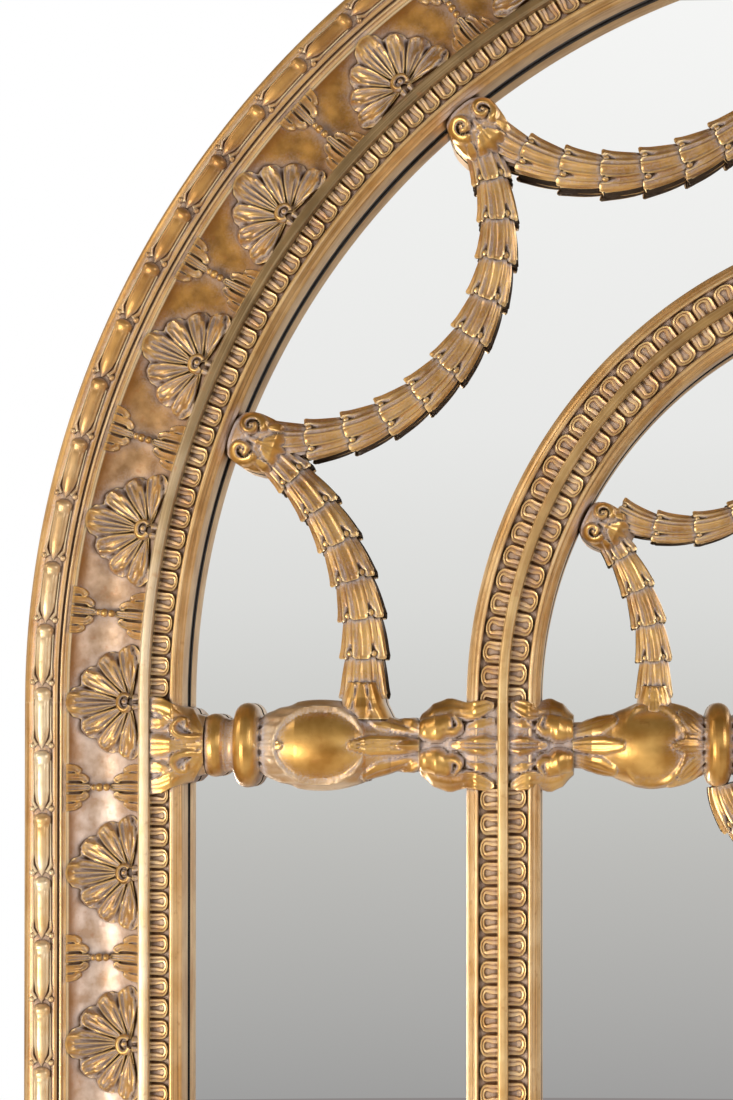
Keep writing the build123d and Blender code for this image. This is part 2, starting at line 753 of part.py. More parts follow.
def middle_swag(low, end_r, short_deg, half_deg, sizes):
    """Two runs of husks that part at the crown, with a clasp between them."""
    r, mid_r = swag_circle(end_r, quarter - low - short_deg, half_deg)
    cz = spring_z + mid_r + r
    path, length = arc_path(0, cz, r, -quarter, -half_deg)
    left = husk_chain(path, length, *sizes)
    return one((left + flipped(left) + clasp_at(cz - r, sizes)) & sector(low, half_turn - low))


outer_sizes = (husk_len, husk_r, husk_neck_r)
inner_sizes = (inner_husk_len, inner_husk_r, inner_husk_neck_r)


def cut_by(shape, others):
    for other in others:
        shape = shape - other
    return one(shape)


swag_hang = (sight_r - swag_end_in, swag_short_deg, swag_half_deg, outer_sizes)
lower = cut_by(swag_between(bracket_degs[0], bracket_degs[1], *swag_hang), outer_brackets[0:2])
upper = cut_by(swag_between(bracket_degs[1], bracket_degs[2], *swag_hang), outer_brackets[1:3])
crown_hang = (sight_r - crown_end_in, crown_short_deg, crown_half_deg, outer_sizes)
crown = cut_by(middle_swag(bracket_degs[2], *crown_hang), outer_brackets[2:4])
keep("swag_lower_left", lower)
keep("swag_lower_right", flipped(lower))
keep("swag_upper_left", upper)
keep("swag_upper_right", flipped(upper))
keep("swag_crown", crown)
inner_hang = (ring_in - inner_end_in, inner_short_deg, inner_half_deg, inner_sizes)
inner_side = cut_by(swag_between(*inner_bracket_degs, *inner_hang), inner_brackets[0:2])
inner_crown = cut_by(middle_swag(inner_bracket_degs[1], *inner_hang), inner_brackets[1:3])
keep("inner_swag_left", inner_side)
keep("inner_swag_right", flipped(inner_side))
keep("inner_swag_crown", inner_crown)


def drop_from(bracket_deg, end_r, short_deg, x, turn_deg, sizes, bracket, spindle):
    """Husks that curve down from a bracket and then hang straight to the rail."""
    start = radians(bracket_deg - short_deg)
    r = (end_r * cos(start) - x) / (1 - cos(radians(turn_deg)))
    turn_z = end_r * sin(start) - r * sin(radians(turn_deg))
    arc_len = radians(turn_deg) * r
    arc, _ = arc_path(-x - r, spring_z + turn_z, r, turn_deg, -turn_deg)

    def path(s):
        if s <= arc_len:
            return arc(s)
        return -x, spring_z + turn_z - (s - arc_len), 0, -1
    chain = husk_chain(path, arc_len + turn_z + rail_drop, *sizes) & sector(-quarter / 2, bracket_deg)
    return cut_by(chain, [bracket, spindle])


outer_drop = drop_from(bracket_degs[0], sight_r - drop_end_in, drop_short_deg, sight_r - drop_in, drop_deg,
                       outer_sizes, outer_brackets[0], left_spindle)
inner_drop = drop_from(inner_bracket_degs[0], ring_in - inner_drop_end_in, inner_drop_short_deg,
                       ring_in - inner_drop_in, inner_drop_deg, inner_sizes, inner_brackets[0], inner_spindle)
keep("husk_drops", solids([outer_drop, flipped(outer_drop)]))
keep("inner_husk_drops", solids([inner_drop, flipped(inner_drop)]))

festoon_cz = rail_z - festoon_end_drop + festoon_r * cos(radians(festoon_half_deg))
festoon_start = half_turn + quarter - festoon_half_deg
festoon_path, festoon_len = arc_path(0, festoon_cz, festoon_r, festoon_start, festoon_half_deg)
festoon_half = husk_chain(festoon_path, festoon_len, *outer_sizes)
festoon_clasp = clasp_at(festoon_cz - festoon_r, outer_sizes)
festoon = cut_by(festoon_half + flipped(festoon_half) + festoon_clasp, [inner_spindle, flipped(inner_spindle)])
keep("festoon", festoon)

# Shells and bows, cut from a layer that follows the cove
shell_x = cove_out - shell_boss_r - half_w


def layer_face(mid_h):
    back_line = [(cove_low_u, mid_h, cove_in, groove_h)]
    return face_of([(cove_in, groove_h), *cove_line, *back_line], frame_place)


def fan_point(angle, r):
    return Vector(shell_x - r * cos(radians(angle)), 0, r * sin(radians(angle)))


lobe_deg = shell_fan_deg / shell_lobes
fan_edges = []
for i in range(shell_lobes):
    a = -shell_fan_deg / 2 + i * lobe_deg
    fan_edges += [ThreePointArc(fan_point(a, shell_r - shell_notch), fan_point(a + lobe_deg / 2, shell_r),
                                fan_point(a + lobe_deg, shell_r - shell_notch))]
fan_edges += [Line(fan_point(shell_fan_deg / 2, shell_r - shell_notch),
                   fan_point(-shell_fan_deg / 2, shell_r - shell_notch))]
fan = extrude(make_face(fan_edges), amount=half_w, dir=(0, -1, 0))
bow_edge = bow_w / 2
bow_mid_x = (cove_in + cove_out) / 2 - half_w
bow_xs = (cove_in + groove_w / 2 - half_w, cove_out - groove_w / 2 - half_w)
bow_face = make_face([
    Line(Vector(bow_xs[0], 0, -bow_edge), Vector(bow_xs[0], 0, bow_edge)),
    ThreePointArc(Vector(bow_xs[0], 0, bow_edge), Vector(bow_mid_x, 0, bow_waist / 2),
                  Vector(bow_xs[1], 0, bow_edge)),
    Line(Vector(bow_xs[1], 0, bow_edge), Vector(bow_xs[1], 0, -bow_edge)),
    ThreePointArc(Vector(bow_xs[1], 0, -bow_edge), Vector(bow_mid_x, 0, -bow_waist / 2),
                  Vector(bow_xs[0], 0, -bow_edge)),
])
bow_block = extrude(bow_face, amount=half_w, dir=(0, -1, 0))


def cove_trim(block, mid_h):
    """One applied ornament for the arch and one for the straight runs."""
    face = Pos(0, -trim_seat, 0) * layer_face(mid_h)
    round_layer = Rot(0, -shell_deg / 2, 0) * revolve(face, Axis.Y, shell_deg)
    return one(round_layer & block), one(extrude(face, amount=shell_r + overrun, both=True) & block)


arch_shell, run_shell = cove_trim(fan, shell_mid_h)
arch_bow, run_bow = cove_trim(bow_block, bow_mid_h)
stile_run = side_len - cove_in - cove_w / 2
stile_shells = round(stile_run / shell_pitch - 1 / 2)
stile_pitch = stile_run / (stile_shells + 1 / 2)
bottom_run = overall_w - cove_in * 2 - cove_w
bottom_shells = round(bottom_run / shell_pitch)
bottom_pitch = bottom_run / bottom_shells
arch_gaps = round(half_turn / shell_deg)
shells = [arch_at(i * shell_deg) * arch_shell for i in range(1, arch_gaps)]
above = Pos(0, 0, half_w / 2) * Box(overall_w + overrun, half_w, half_w)
spring_shell = left_at(spring_z) * one((arch_shell & above) + (run_shell - above))
shells += [spring_shell, flipped(spring_shell)]
bows = [arch_at((i + 1 / 2) * shell_deg) * arch_bow for i in range(arch_gaps)]
for i in range(stile_shells):
    shell_z = spring_z - (i + 1) * stile_pitch
    shells += [left_at(shell_z) * run_shell, right_at(shell_z) * run_shell]
    bows += [left_at(shell_z + stile_pitch / 2) * run_bow, right_at(shell_z + stile_pitch / 2) * run_bow]
for i in range(bottom_shells):
    shells += [bottom_at((i + 1 / 2 - bottom_shells / 2) * bottom_pitch) * run_shell]
for i in range(1, bottom_shells):
    bows += [bottom_at((i - bottom_shells / 2) * bottom_pitch) * run_bow]
keep("shells", solids(shells))
keep("leaf_bows", solids(bows))


# Plate, setting blocks, backing board and felt pads
def arched_sheet(inset, t, y):
    """A sheet with an arched top whose front lies at y."""
    r = half_w - inset
    low = bottom_z + inset
    face = make_face([
        ThreePointArc(Vector(-r, y, spring_z), Vector(0, y, spring_z + r), Vector(r, y, spring_z)),
        Polyline([Vector(r, y, spring_z), Vector(r, y, low), Vector(-r, y, low), Vector(-r, y, spring_z)]),
    ])
    return extrude(face, amount=t, dir=(0, 1, 0))


plate_in = rebate_u + plate_play
keep("mirror_plate", one(arched_sheet(plate_in, plate_t, glass_y)))
keep("backing_board", one(arched_sheet(rebate_u + board_play, board_t, glass_y + plate_t)))
block_z = bottom_z + rebate_u + plate_play / 2
keep("setting_blocks", solids([
    Pos(x, glass_y + plate_t / 2, block_z) * Box(block_len, plate_t, plate_play) for x in (-block_x, block_x)
]))
pad = Pos(0, front(ring_gap / 2), 0) * Rot(quarter, 0, 0) * Cylinder(pad_r, ring_gap)
pads = []
for i in range(arch_pads):
    pads += [arch_at((i + 1 / 2) * half_turn / arch_pads) * Pos(-ring_r, 0, 0) * pad]
pad_gap = (side_len - frame_w) / mullion_pads
for i in range(mullion_pads):
    pads += [Pos(side * ring_r, 0, spring_z - (i + 1 / 2) * pad_gap) * pad for side in (-1, 1)]
keep("felt_pads", solids(pads))

for name, shape in nodes.items():
    export_step(shape, "parts/" + name + ".step")
print(len(nodes), "nodes; frame width", frame_w, "sight radius", sight_r, "bottom", bottom_z)
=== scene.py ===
# %% [markdown]
# # A gilded arched mirror
# This lesson dresses a finished construction model of a large wall mirror.
# The frame is carved and gilded wood: mouldings bent round an arch, rows of small
# ornaments set on them, an inner arch, a turned rail and swags of husks over one plate.
# The first cell loads the construction model. Everything is in metres, the front looks
# along -Y, and the wall is the plane y = 0.

# %% Load the frame
from math import atan2, cos, pi, radians, sin, sqrt

import bmesh
import bpy
import numpy as np
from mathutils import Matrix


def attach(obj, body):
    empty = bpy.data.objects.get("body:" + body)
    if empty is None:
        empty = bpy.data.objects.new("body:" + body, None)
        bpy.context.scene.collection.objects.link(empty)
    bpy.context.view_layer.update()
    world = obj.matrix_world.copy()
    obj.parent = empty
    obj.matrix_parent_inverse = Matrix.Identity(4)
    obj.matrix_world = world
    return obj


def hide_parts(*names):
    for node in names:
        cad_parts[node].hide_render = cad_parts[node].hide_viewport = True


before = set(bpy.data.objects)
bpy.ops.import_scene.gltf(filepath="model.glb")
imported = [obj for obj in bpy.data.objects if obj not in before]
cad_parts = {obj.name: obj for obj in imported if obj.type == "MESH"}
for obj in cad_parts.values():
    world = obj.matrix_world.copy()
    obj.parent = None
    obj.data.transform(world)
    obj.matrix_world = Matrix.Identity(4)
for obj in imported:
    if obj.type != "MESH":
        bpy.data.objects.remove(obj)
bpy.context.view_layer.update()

MM = 0.001

# %% [markdown]
# ## Helpers for node trees
# Colours are written as hex values, as a paint chart gives them, and one function turns
# them into the linear values that the shaders expect. Another function adds a node to a
# tree: its inputs are either values or sockets of earlier nodes, which it links. The
# short functions after it add the nodes that come up most often.

# %% Colour and node helpers
def colour(code):
    """Linear RGBA from an sRGB hex value."""
    parts = [int(code[i:i + 2], 16) / 255 for i in (1, 3, 5)]
    return [p / 12.92 if p <= 0.04045 else ((p + 0.055) / 1.055) ** 2.4 for p in parts] + [1.0]


def feed(tree, node, inputs):
    """Set a node's inputs to values, or link sockets to them."""
    for name, value in inputs.items():
        if isinstance(value, bpy.types.NodeSocket):
            tree.links.new(value, node.inputs[name])
        else:
            node.inputs[name].default_value = value


def add(tree, kind, inputs=None, **settings):
    """Add one node with its settings, values and links."""
    made = tree.nodes.new(kind)
    for name, value in settings.items():
        setattr(made, name, value)
    feed(tree, made, inputs or {})
    return made


def mixed(tree, amount, below, above):
    """A socket with a colour between two, each given as a hex value or a socket."""
    ends = [c if isinstance(c, bpy.types.NodeSocket) else colour(c) for c in (below, above)]
    node = add(tree, "ShaderNodeMix", {0: amount, 6: ends[0], 7: ends[1]}, data_type="RGBA")
    return node.outputs[2]


def maths(tree, operation, *values):
    """A socket with the result of one calculation."""
    return add(tree, "ShaderNodeMath", dict(enumerate(values)), operation=operation).outputs[0]


def ramp(tree, value, low, high, to_low=0.0, to_high=1.0):
    """A socket that runs from to_low to to_high while a value runs from low to high."""
    limits = {0: value, 1: low, 2: high, 3: to_low, 4: to_high}
    return add(tree, "ShaderNodeMapRange", limits).outputs[0]


def one_axis(tree, vector, axis):
    return add(tree, "ShaderNodeSeparateXYZ", {0: vector}).outputs[axis]


def mottled(tree, scale, low, high):
    """A colour that noise turns between two."""
    where = add(tree, "ShaderNodeTexCoord").outputs["Object"]
    noise = add(tree, "ShaderNodeTexNoise", {"Vector": where, "Scale": scale})
    fade = add(tree, "ShaderNodeValToRGB", {0: noise.outputs["Fac"]})
    for element, code in zip(fade.color_ramp.elements, (low, high)):
        element.color = colour(code)
    return fade.outputs[0]


def new_material(name):
    """A material, its node tree and its shader."""
    made = bpy.data.materials.new(name)
    made.use_nodes = True
    return made, made.node_tree, made.node_tree.nodes["Principled BSDF"]


def new_object(name, data):
    """An object in the scene."""
    made = bpy.data.objects.new(name, data)
    bpy.context.scene.collection.objects.link(made)
    return made


# %% [markdown]
# ## The camera
# The photograph shows the upper left part of the mirror, and its verticals stay
# parallel, so the picture is a part of a wider one, taken straight on. A lens shifted
# that far would put the object outside every other view, so the camera stands further
# left, turns by two degrees and keeps a small shift. Its numbers come from fitting the
# moulding edges, the arch and the rail. The outline of the object lies 1.4 pixels on
# average from where the straight camera puts it.

# %% Camera
CAMERA_PLACE = (-0.2262, -1.9747, 0.0763)
CAMERA_TURN = (90.798, 0.0, 2.156)  # degrees
LENS, SENSOR = 97.08, 36.0          # millimetres
SHIFT = (-0.12, 0.12)

camera_data = bpy.data.cameras.new("camera")
camera_data.sensor_width, camera_data.lens = SENSOR, LENS
camera_data.shift_x, camera_data.shift_y = SHIFT
camera = new_object("camera", camera_data)
camera.location = CAMERA_PLACE
camera.rotation_euler = [radians(turn) for turn in CAMERA_TURN]
bpy.context.scene.camera = camera
print("camera", CAMERA_PLACE, "lens", LENS, "shift", SHIFT)

# %% [markdown]
# ## Light
# A mirror and gilding show the room as much as themselves. The studio in the
# photograph is white behind the object, pale at eye level, and darker overhead, and one
# large soft light stands low on the left. The world gives the white to the camera and
# a band of grey to everything that reflects it. The plate shows that band from 7 degrees
# below eye level, where it is grey, to 14 degrees above, where it is white. The pale
# floor glows a little, less for what reflects it than for the camera.

# %% World, lamps and floor
world = bpy.data.worlds.new("studio")
world.use_nodes = True
tree = world.node_tree
tree.nodes.clear()
ray = add(tree, "ShaderNodeLightPath").outputs
height = one_axis(tree, add(tree, "ShaderNodeTexCoord").outputs["Generated"], "Z")
# Two ramps: the narrow band that the plate shows, and the rest of the room
BAND = [(-0.125, "#A3A2A2"), (-0.093, "#B0AFAE"), (-0.047, "#C0BFBD"), (-0.019, "#CACAC8"),
        (0.041, "#E0E0DF"), (0.099, "#EDEDED"), (0.237, "#FAFAFA")]
ROOM = [(-1.0, "#948A8C"), (-0.45, "#8A8082"), (-0.14, "#8C8686"), (0.30, "#D6D2CC"),
        (0.48, "#8C8073"), (0.75, "#5A5148"), (1.0, "#4A4440")]
fades = []
for stops in (BAND, ROOM):
    low, high = stops[0][0], stops[-1][0]
    fade = add(tree, "ShaderNodeValToRGB", {0: ramp(tree, height, low, high)})
    while len(fade.color_ramp.elements) < len(stops):
        fade.color_ramp.elements.new(0.5)
    for element, (level, code) in zip(fade.color_ramp.elements, stops):
        element.position = (level - low) / (high - low)
        element.color = colour(code)
    fades.append(fade.outputs[0])
above = maths(tree, "GREATER_THAN", height, BAND[0][0])
below = maths(tree, "LESS_THAN", height, BAND[-1][0])
room = mixed(tree, maths(tree, "MULTIPLY", above, below), fades[1], fades[0])
seen = mixed(tree, ray["Is Camera Ray"], room, "#FFFFFF")
background = add(tree, "ShaderNodeBackground", {0: seen})
add(tree, "ShaderNodeOutputWorld", {0: background.outputs[0]})
bpy.context.scene.world = world
bpy.context.scene.view_settings.view_transform = "Standard"

LAMPS = [("key_low_left", (-1.75, -2.1, -0.55), (-0.35, 0.0, 0.15), (0.9, 1.1), 46, "#FFF6EA"),
         ("fill_right", (2.0, -1.5, 0.9), (-0.4, 0.0, 0.2), (1.0, 1.4), 22, "#F6F6FF"),
         ("rim_high_left", (-2.2, -0.5, 1.5), (-0.3, 0.0, 0.4), (0.6, 1.2), 9, "#FFF4E4")]
for name, place, aim, size, watts, tint in LAMPS:
    lamp_data = bpy.data.lights.new(name, "AREA")
    lamp_data.shape = "RECTANGLE"
    lamp_data.size, lamp_data.size_y = size
    lamp_data.energy = watts
    lamp_data.color = colour(tint)[:3]
    lamp = new_object(name, lamp_data)
    lamp.location = place
    reach = np.array(aim) - np.array(place)
    lamp.rotation_euler = (atan2(sqrt(reach[0] ** 2 + reach[1] ** 2), -reach[2]), 0.0,
                           atan2(reach[1], reach[0]) - pi / 2)

FLOOR_HALF, FLOOR_Z = 3.5, -1.131
SPECKLE_SCALE = 30.0
GLOW_SEEN, GLOW_REFLECTED = 0.62, 0.35
floor_data = bpy.data.meshes.new("floor")
floor_data.from_pydata([(i * FLOOR_HALF, j * FLOOR_HALF, FLOOR_Z)
                        for i, j in ((-1, -1), (1, -1), (1, 1), (-1, 1))], [], [(0, 1, 2, 3)])
floor = new_object("floor", floor_data)
floor_paint, tree, shader = new_material("pale_floor_paint")
tint = mottled(tree, SPECKLE_SCALE, "#E6E3E0", "#ECEAE7")
ray = add(tree, "ShaderNodeLightPath").outputs
direct = maths(tree, "MULTIPLY", ray["Is Camera Ray"], GLOW_SEEN)
glow = maths(tree, "MULTIPLY_ADD", ray["Is Glossy Ray"], GLOW_REFLECTED, direct)
feed(tree, shader, {"Base Color": tint, "Emission Color": tint, "Emission Strength": glow,
                    "Roughness": 0.8})
floor_data.materials.append(floor_paint)
print("lamps", [lamp[0] for lamp in LAMPS])

# %% [markdown]
# ## Finishes
# The frame is oil gilding over gesso and cast composition. Metal leaf is laid on a
# warm brown ground, rubbed through on the ridges, toned with umber, and a grey lime wax
# is left in the hollows. The pale rubbed edges are also painted highlights, and the
# umber in the crevices is also painted shade. So one finish has four colours, and what
# chooses between them is the shape: ambient occlusion tells the shader where a hollow
# is, and its inside version where an edge is. Broad noise, 26 mm across, makes the leaf
# uneven, and fine noise, 1.4 mm across, breaks the wax. Several gildings are paler below
# the spring of the arch, a painted sheen, and darker above it, painted shade. On the run
# mouldings the tone lies in long streaks, because the toner was brushed along them:
# there the noise follows the piece's own UV map, which runs in metres along and across
# the moulding. Faces that look back to the plate are painted dark as the shade under the
# ornaments, the lip is blacked where it meets the plate, which also paints the shade
# under it, and the cove's outer wall is painted brown as shade.

# %% Gilding
LEAF_PATCH, WAX_GRAIN, BOLE_SPOT, DAB = 26 * MM, 1.4 * MM, 5 * MM, 11 * MM
STREAK_LONG, STREAK_WIDE = 150 * MM, 1.3 * MM
CREVICE, HOLLOW, EDGE = 3.2 * MM, 9 * MM, 1.4 * MM     # how far occlusion looks
# Where each layer starts and where it is full, in noise or in occlusion
PATCHES, BOLE_SHOWS = (0.36, 0.66), (0.60, 0.72)
DARK_STREAKS, PALE_STREAKS = (0.46, 0.30), (0.52, 0.70)
WAX_SETTLES, UMBER_AND_SHADE_STAY, EDGE_WORN_AND_HIGHLIT = (1.10, 0.80), (0.78, 0.50), (0.80, 0.50)
# The same for how much a face looks back, and for heights and depths in metres
TO_FRONT, TO_BACK = (-0.05, -0.55), (0.30, 0.45)
WALL_FADE = (0.004, 0.011)          # the cove's outer wall, painted brown as shade, across it
# SPRING_LEVEL is where a painted sheen below the spring of the arch turns to painted shade above it
SPRING_LEVEL, RAIL_LEVEL = (0.02, 0.32), (0.06, 0.10)
BLACKED_AND_SHADED_FROM = (-0.0230, -0.0256)   # how far the black reaches, which also paints the shade under the lip, below the rail and above it
SPRING_Z = 90.0                     # millimetres
JOINT_HALF = 0.0022


def gilding(name, leaf, upper=None, rubbed="#FFF0C8", umber_and_shade="#5C3E1C", wax="#C8C0C2",
            rough=0.40, wax_amount=1.0, streaks=0.0, metal=0.7, rebate=False, dabs=0.0,
            coat=0.0, wall=None):
    """Toned gilding: leaf, paler below the spring as a painted sheen and darker above it as
    painted shade where upper colours are given, then lime wax in hollows, umber and painted
    shade in crevices, rubbed edges with painted highlights, and painted shade on the backs.
    """
    made, tree, shader = new_material(name)
    where = add(tree, "ShaderNodeTexCoord").outputs

    def noise(size, detail=3.0, vector=where["Object"]):
        inputs = {"Vector": vector, "Scale": 1 / size, "Detail": detail}
        return add(tree, "ShaderNodeTexNoise", inputs).outputs["Fac"]

    def occlusion(reach, samples, **settings):
        return add(tree, "ShaderNodeAmbientOcclusion", {"Distance": reach}, samples=samples,
                   **settings).outputs["AO"]

    height = one_axis(tree, where["Object"], "Z")
    facing = one_axis(tree, add(tree, "ShaderNodeNewGeometry").outputs["Normal"], "Y")
    patch = ramp(tree, noise(DAB if dabs else LEAF_PATCH), *PATCHES)
    grain = noise(WAX_GRAIN, 2.0)
    ground = mixed(tree, patch, *leaf)
    # Upper colours take over above the spring: the leaf colours below are paler, a painted sheen,
    # and the upper ones darker, painted shade
    if upper:
        upper = mixed(tree, patch, *upper)
        ground = mixed(tree, ramp(tree, height, *SPRING_LEVEL), ground, upper)
    if streaks:
        scale = (1 / STREAK_LONG, 1 / STREAK_WIDE, 1.0)
        brushed = add(tree, "ShaderNodeMapping", {0: where["UV"], 3: scale}).outputs[0]
        streak = noise(1.0, vector=brushed)
        for limits, most, tone in ((DARK_STREAKS, 0.75, "#8C6032"), (PALE_STREAKS, 0.8, "#F0D2A6")):
            ground = mixed(tree, ramp(tree, streak, *limits, 0.0, most * streaks), ground, tone)
    # The cove's outer wall is painted brown as shade
    if wall:
        across = one_axis(tree, where["UV"], "Y")
        ground = mixed(tree, ramp(tree, across, *WALL_FADE, 0.8, 0.0), ground, wall)
    bole = ramp(tree, noise(BOLE_SPOT, 5.0), *BOLE_SHOWS, 0.0, 0.35)
    ground = mixed(tree, bole, ground, "#A8662F")
    settled = maths(tree, "MULTIPLY_ADD", grain, 0.42, occlusion(HOLLOW, 6))
    waxed = maths(tree, "MULTIPLY", ramp(tree, settled, *WAX_SETTLES, 0.0, wax_amount),
                  ramp(tree, facing, *TO_FRONT))
    ground = mixed(tree, waxed, ground, wax)
    # Umber toner in the crevices, which also paints the shade that falls in them
    ground = mixed(tree, ramp(tree, occlusion(CREVICE, 5), *UMBER_AND_SHADE_STAY), ground, umber_and_shade)
    # Convex edges are rubbed pale: real wear, and also a painted highlight
    edge = occlusion(EDGE, 4, inside=True, only_local=True)
    at_joint = maths(tree, "COMPARE", height, SPRING_Z * MM, JOINT_HALF)
    worn_and_highlit = maths(tree, "MULTIPLY", ramp(tree, edge, *EDGE_WORN_AND_HIGHLIT, 0.0, 0.8),
                 ramp(tree, at_joint, 0.0, 1.0, 1.0, 0.25))
    ground = mixed(tree, worn_and_highlit, ground, rubbed)
    # Faces that look back to the plate are painted shade: dark brown, except on the lip, and dull
    back_shade = ramp(tree, facing, *TO_BACK)
    # The lip is blacked near the plate, as a rebate is; the black also paints the shade under the
    # lip, and reaches higher above the rail
    if rebate:
        depth = ramp(tree, height, *RAIL_LEVEL, *BLACKED_AND_SHADED_FROM)
        blacked_and_shaded = maths(tree, "GREATER_THAN", one_axis(tree, where["Object"], "Y"), depth)
        ground = mixed(tree, blacked_and_shaded, ground, "#1A120C")
        back_shade = maths(tree, "MAXIMUM", back_shade, blacked_and_shaded)
    else:
        ground = mixed(tree, back_shade, ground, "#3E2C1A")
    dull = maths(tree, "MAXIMUM", waxed, back_shade)
    dent = {"Height": grain, "Strength": 0.22, "Distance": 0.35 * MM}
    dent = add(tree, "ShaderNodeBump", dent).outputs[0]
    if dabs:
        dent = {"Height": noise(DAB, 2.0), "Strength": 1.0, "Distance": dabs * MM, "Normal": dent}
        dent = add(tree, "ShaderNodeBump", dent).outputs[0]
    feed(tree, shader, {"Base Color": ground, "Normal": dent,
                        "Metallic": ramp(tree, dull, 0.0, 1.0, metal, metal * 0.12),
                        "Roughness": ramp(tree, dull, 0.0, 1.0, rough, 0.75),
                        "Coat Weight": coat, "Coat Roughness": 0.26})
    return made


# The rubbed colours are worn leaf and also painted highlights on the edges
leaf_gilding = gilding("oil_gilding_on_composition", ("#A6752C", "#DCAE60"), rubbed="#FBE2AA",
                       rough=0.30, coat=0.25)
sheath_gilding = gilding("waxed_gilding_on_the_sheath", ("#A88250", "#CDB494"), rough=0.42,
                         metal=0.4, wax_amount=1.6, coat=0.2)
shell_gilding = gilding("oil_gilding_on_the_shells", ("#9C7234", "#D6AA62"), rubbed="#F4D594",
                        wax="#BEB4B4", rough=0.34, coat=0.12, wax_amount=1.15)
# From here on the first colours are for below the spring and upper for above it: paler below as a
# painted sheen, darker above as painted shade
bead_gilding = gilding("rubbed_gilding_on_the_beads", ("#D9B074", "#FBEBC8"),
                       upper=("#9E7036", "#CA9A56"), rough=0.36, metal=0.55, wax_amount=0.5,
                       umber_and_shade="#6B4418")
tongue_gilding = gilding("oil_gilding_on_the_tongues", ("#D49E4E", "#FFDFA2"),
                         upper=("#C48C42", "#F0CA86"), rubbed="#FBE0A4", rough=0.36,
                         metal=0.62, wax_amount=0.55, umber_and_shade="#8A5C30")
run_look = dict(streaks=0.9, rough=0.38, metal=0.6, wax_amount=0.7)
run_gilding = gilding("oil_gilding_brushed_along", ("#BC8A4C", "#D9AE70"),
                      upper=("#BA8A46", "#DAAC68"), **run_look)
lip_gilding = gilding("oil_gilding_brushed_along_the_lip", ("#D8AA6A", "#F5D39C"),
                      upper=("#C69856", "#E8C082"), rebate=True, **run_look)
fillet_look = dict(streaks=0.35, wax_amount=0.5, metal=0.6)
fillet_gilding = gilding("rubbed_gilding_on_the_fillet", ("#E2C698", "#F4E2C4"),
                         upper=("#6E5836", "#8E744C"), **fillet_look)
inner_fillet_gilding = gilding("rubbed_gilding_on_the_inner_fillet", ("#CBA062", "#E8C890"),
                               upper=("#8A683A", "#B08C54"), **fillet_look)
# The cove also gets a brown outer wall, painted as shade
cove_gilding = gilding("gilding_dabbed_in_the_cove", ("#BC9E84", "#E6D4C6"),
                       upper=("#8A6226", "#B88840"), wax_amount=0.5, rough=0.46, metal=0.5,
                       dabs=0.6, wall="#94652E")
print("gildings made")

# %% [markdown]
# The back is plain: pine members, a hardboard sheet, zinc-plated plates and clips,
# beech dowels, black rubber and grey felt. Wood grain is noise 4 mm across, stretched
# along the member. The plate is a faintly hazy silver.

# %% Plain finishes
GRAIN_SHOWS = (0.30, 0.70)


def plain(name, low, high, size, stretch=(1.0, 1.0, 1.0), rough=0.5, metallic=0.0, bump=0.1):
    """A mottled finish between two colours, with its pattern size in millimetres."""
    made, tree, shader = new_material(name)
    where = add(tree, "ShaderNodeTexCoord").outputs["Object"]
    turned = add(tree, "ShaderNodeMapping", {0: where, 3: stretch}).outputs[0]
    spot = add(tree, "ShaderNodeTexNoise", {"Vector": turned, "Scale": 1 / (size * MM),
                                            "Detail": 4.0}).outputs["Fac"]
    dent = add(tree, "ShaderNodeBump", {"Height": spot, "Strength": bump, "Distance": 0.3 * MM})
    shade = ramp(tree, spot, *GRAIN_SHOWS)
    feed(tree, shader, {"Base Color": mixed(tree, shade, low, high), "Normal": dent.outputs[0],
                        "Roughness": rough, "Metallic": metallic})
    return made


pine_up = plain("planed_pine_upright", "#B98F5E", "#D8B685", 4, (1.0, 1.0, 0.05), rough=0.6)
pine_along = plain("planed_pine_level", "#B98F5E", "#D8B685", 4, (0.05, 1.0, 1.0), rough=0.6)
beech = plain("beech_dowel", "#C9A06C", "#DDBB8A", 2, rough=0.55)
hardboard = plain("hardboard_smooth_side", "#80603F", "#97724C", 1.2, rough=0.5, bump=0.2)
zinc = plain("zinc_plated_steel", "#9A9C9E", "#B9BBBD", 6, rough=0.34, metallic=1.0, bump=0.03)
rubber = plain("black_rubber", "#1B1B1B", "#262626", 0.8, rough=0.75)
felt = plain("grey_wool_felt", "#4A4744", "#5E5A56", 0.6, rough=0.95, bump=0.5)
HAZE_SCALE = 4.0
silver, tree, shader = new_material("silvered_plate_glass")
feed(tree, shader, {"Base Color": mottled(tree, HAZE_SCALE, "#F8F9F7", "#FBFBFA"),
                    "Metallic": 1.0, "Roughness": 0.0})
print("plain finishes made")

# %% [markdown]
# ## Making a piece
# Every piece below is a list of points in millimetres and a list of faces.

# %% Piece helpers
def make_mesh(name, points, faces, material, sharp=40, uv=None):
    """A mesh in metres from millimetre points, with its faces outwards."""
    data = bpy.data.meshes.new(name)
    data.from_pydata((np.asarray(points, float) * MM).tolist(), [], [tuple(f) for f in faces])
    if uv is not None:
        layer = data.uv_layers.new(name="run")
        corners = np.empty(len(data.loops), int)
        data.loops.foreach_get("vertex_index", corners)
        layer.data.foreach_set("uv", (np.asarray(uv, float)[corners] * MM).ravel())
    shell = bmesh.new()
    shell.from_mesh(data)
    bmesh.ops.recalc_face_normals(shell, faces=shell.faces)
    shell.to_mesh(data)
    shell.free()
    data.materials.append(material)
    data.shade_smooth()
    data.set_sharp_from_angle(angle=radians(sharp))
    return data


def piece(name, data, replaced):
    """Show a mesh as one piece of the frame, in place of the named nodes."""
    made = new_object(name, data)
    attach(made, "frame")
    if replaced:
        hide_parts(*replaced)
    return made


def mirrored(points):
    return np.asarray(points, float) * [-1, 1, 1]


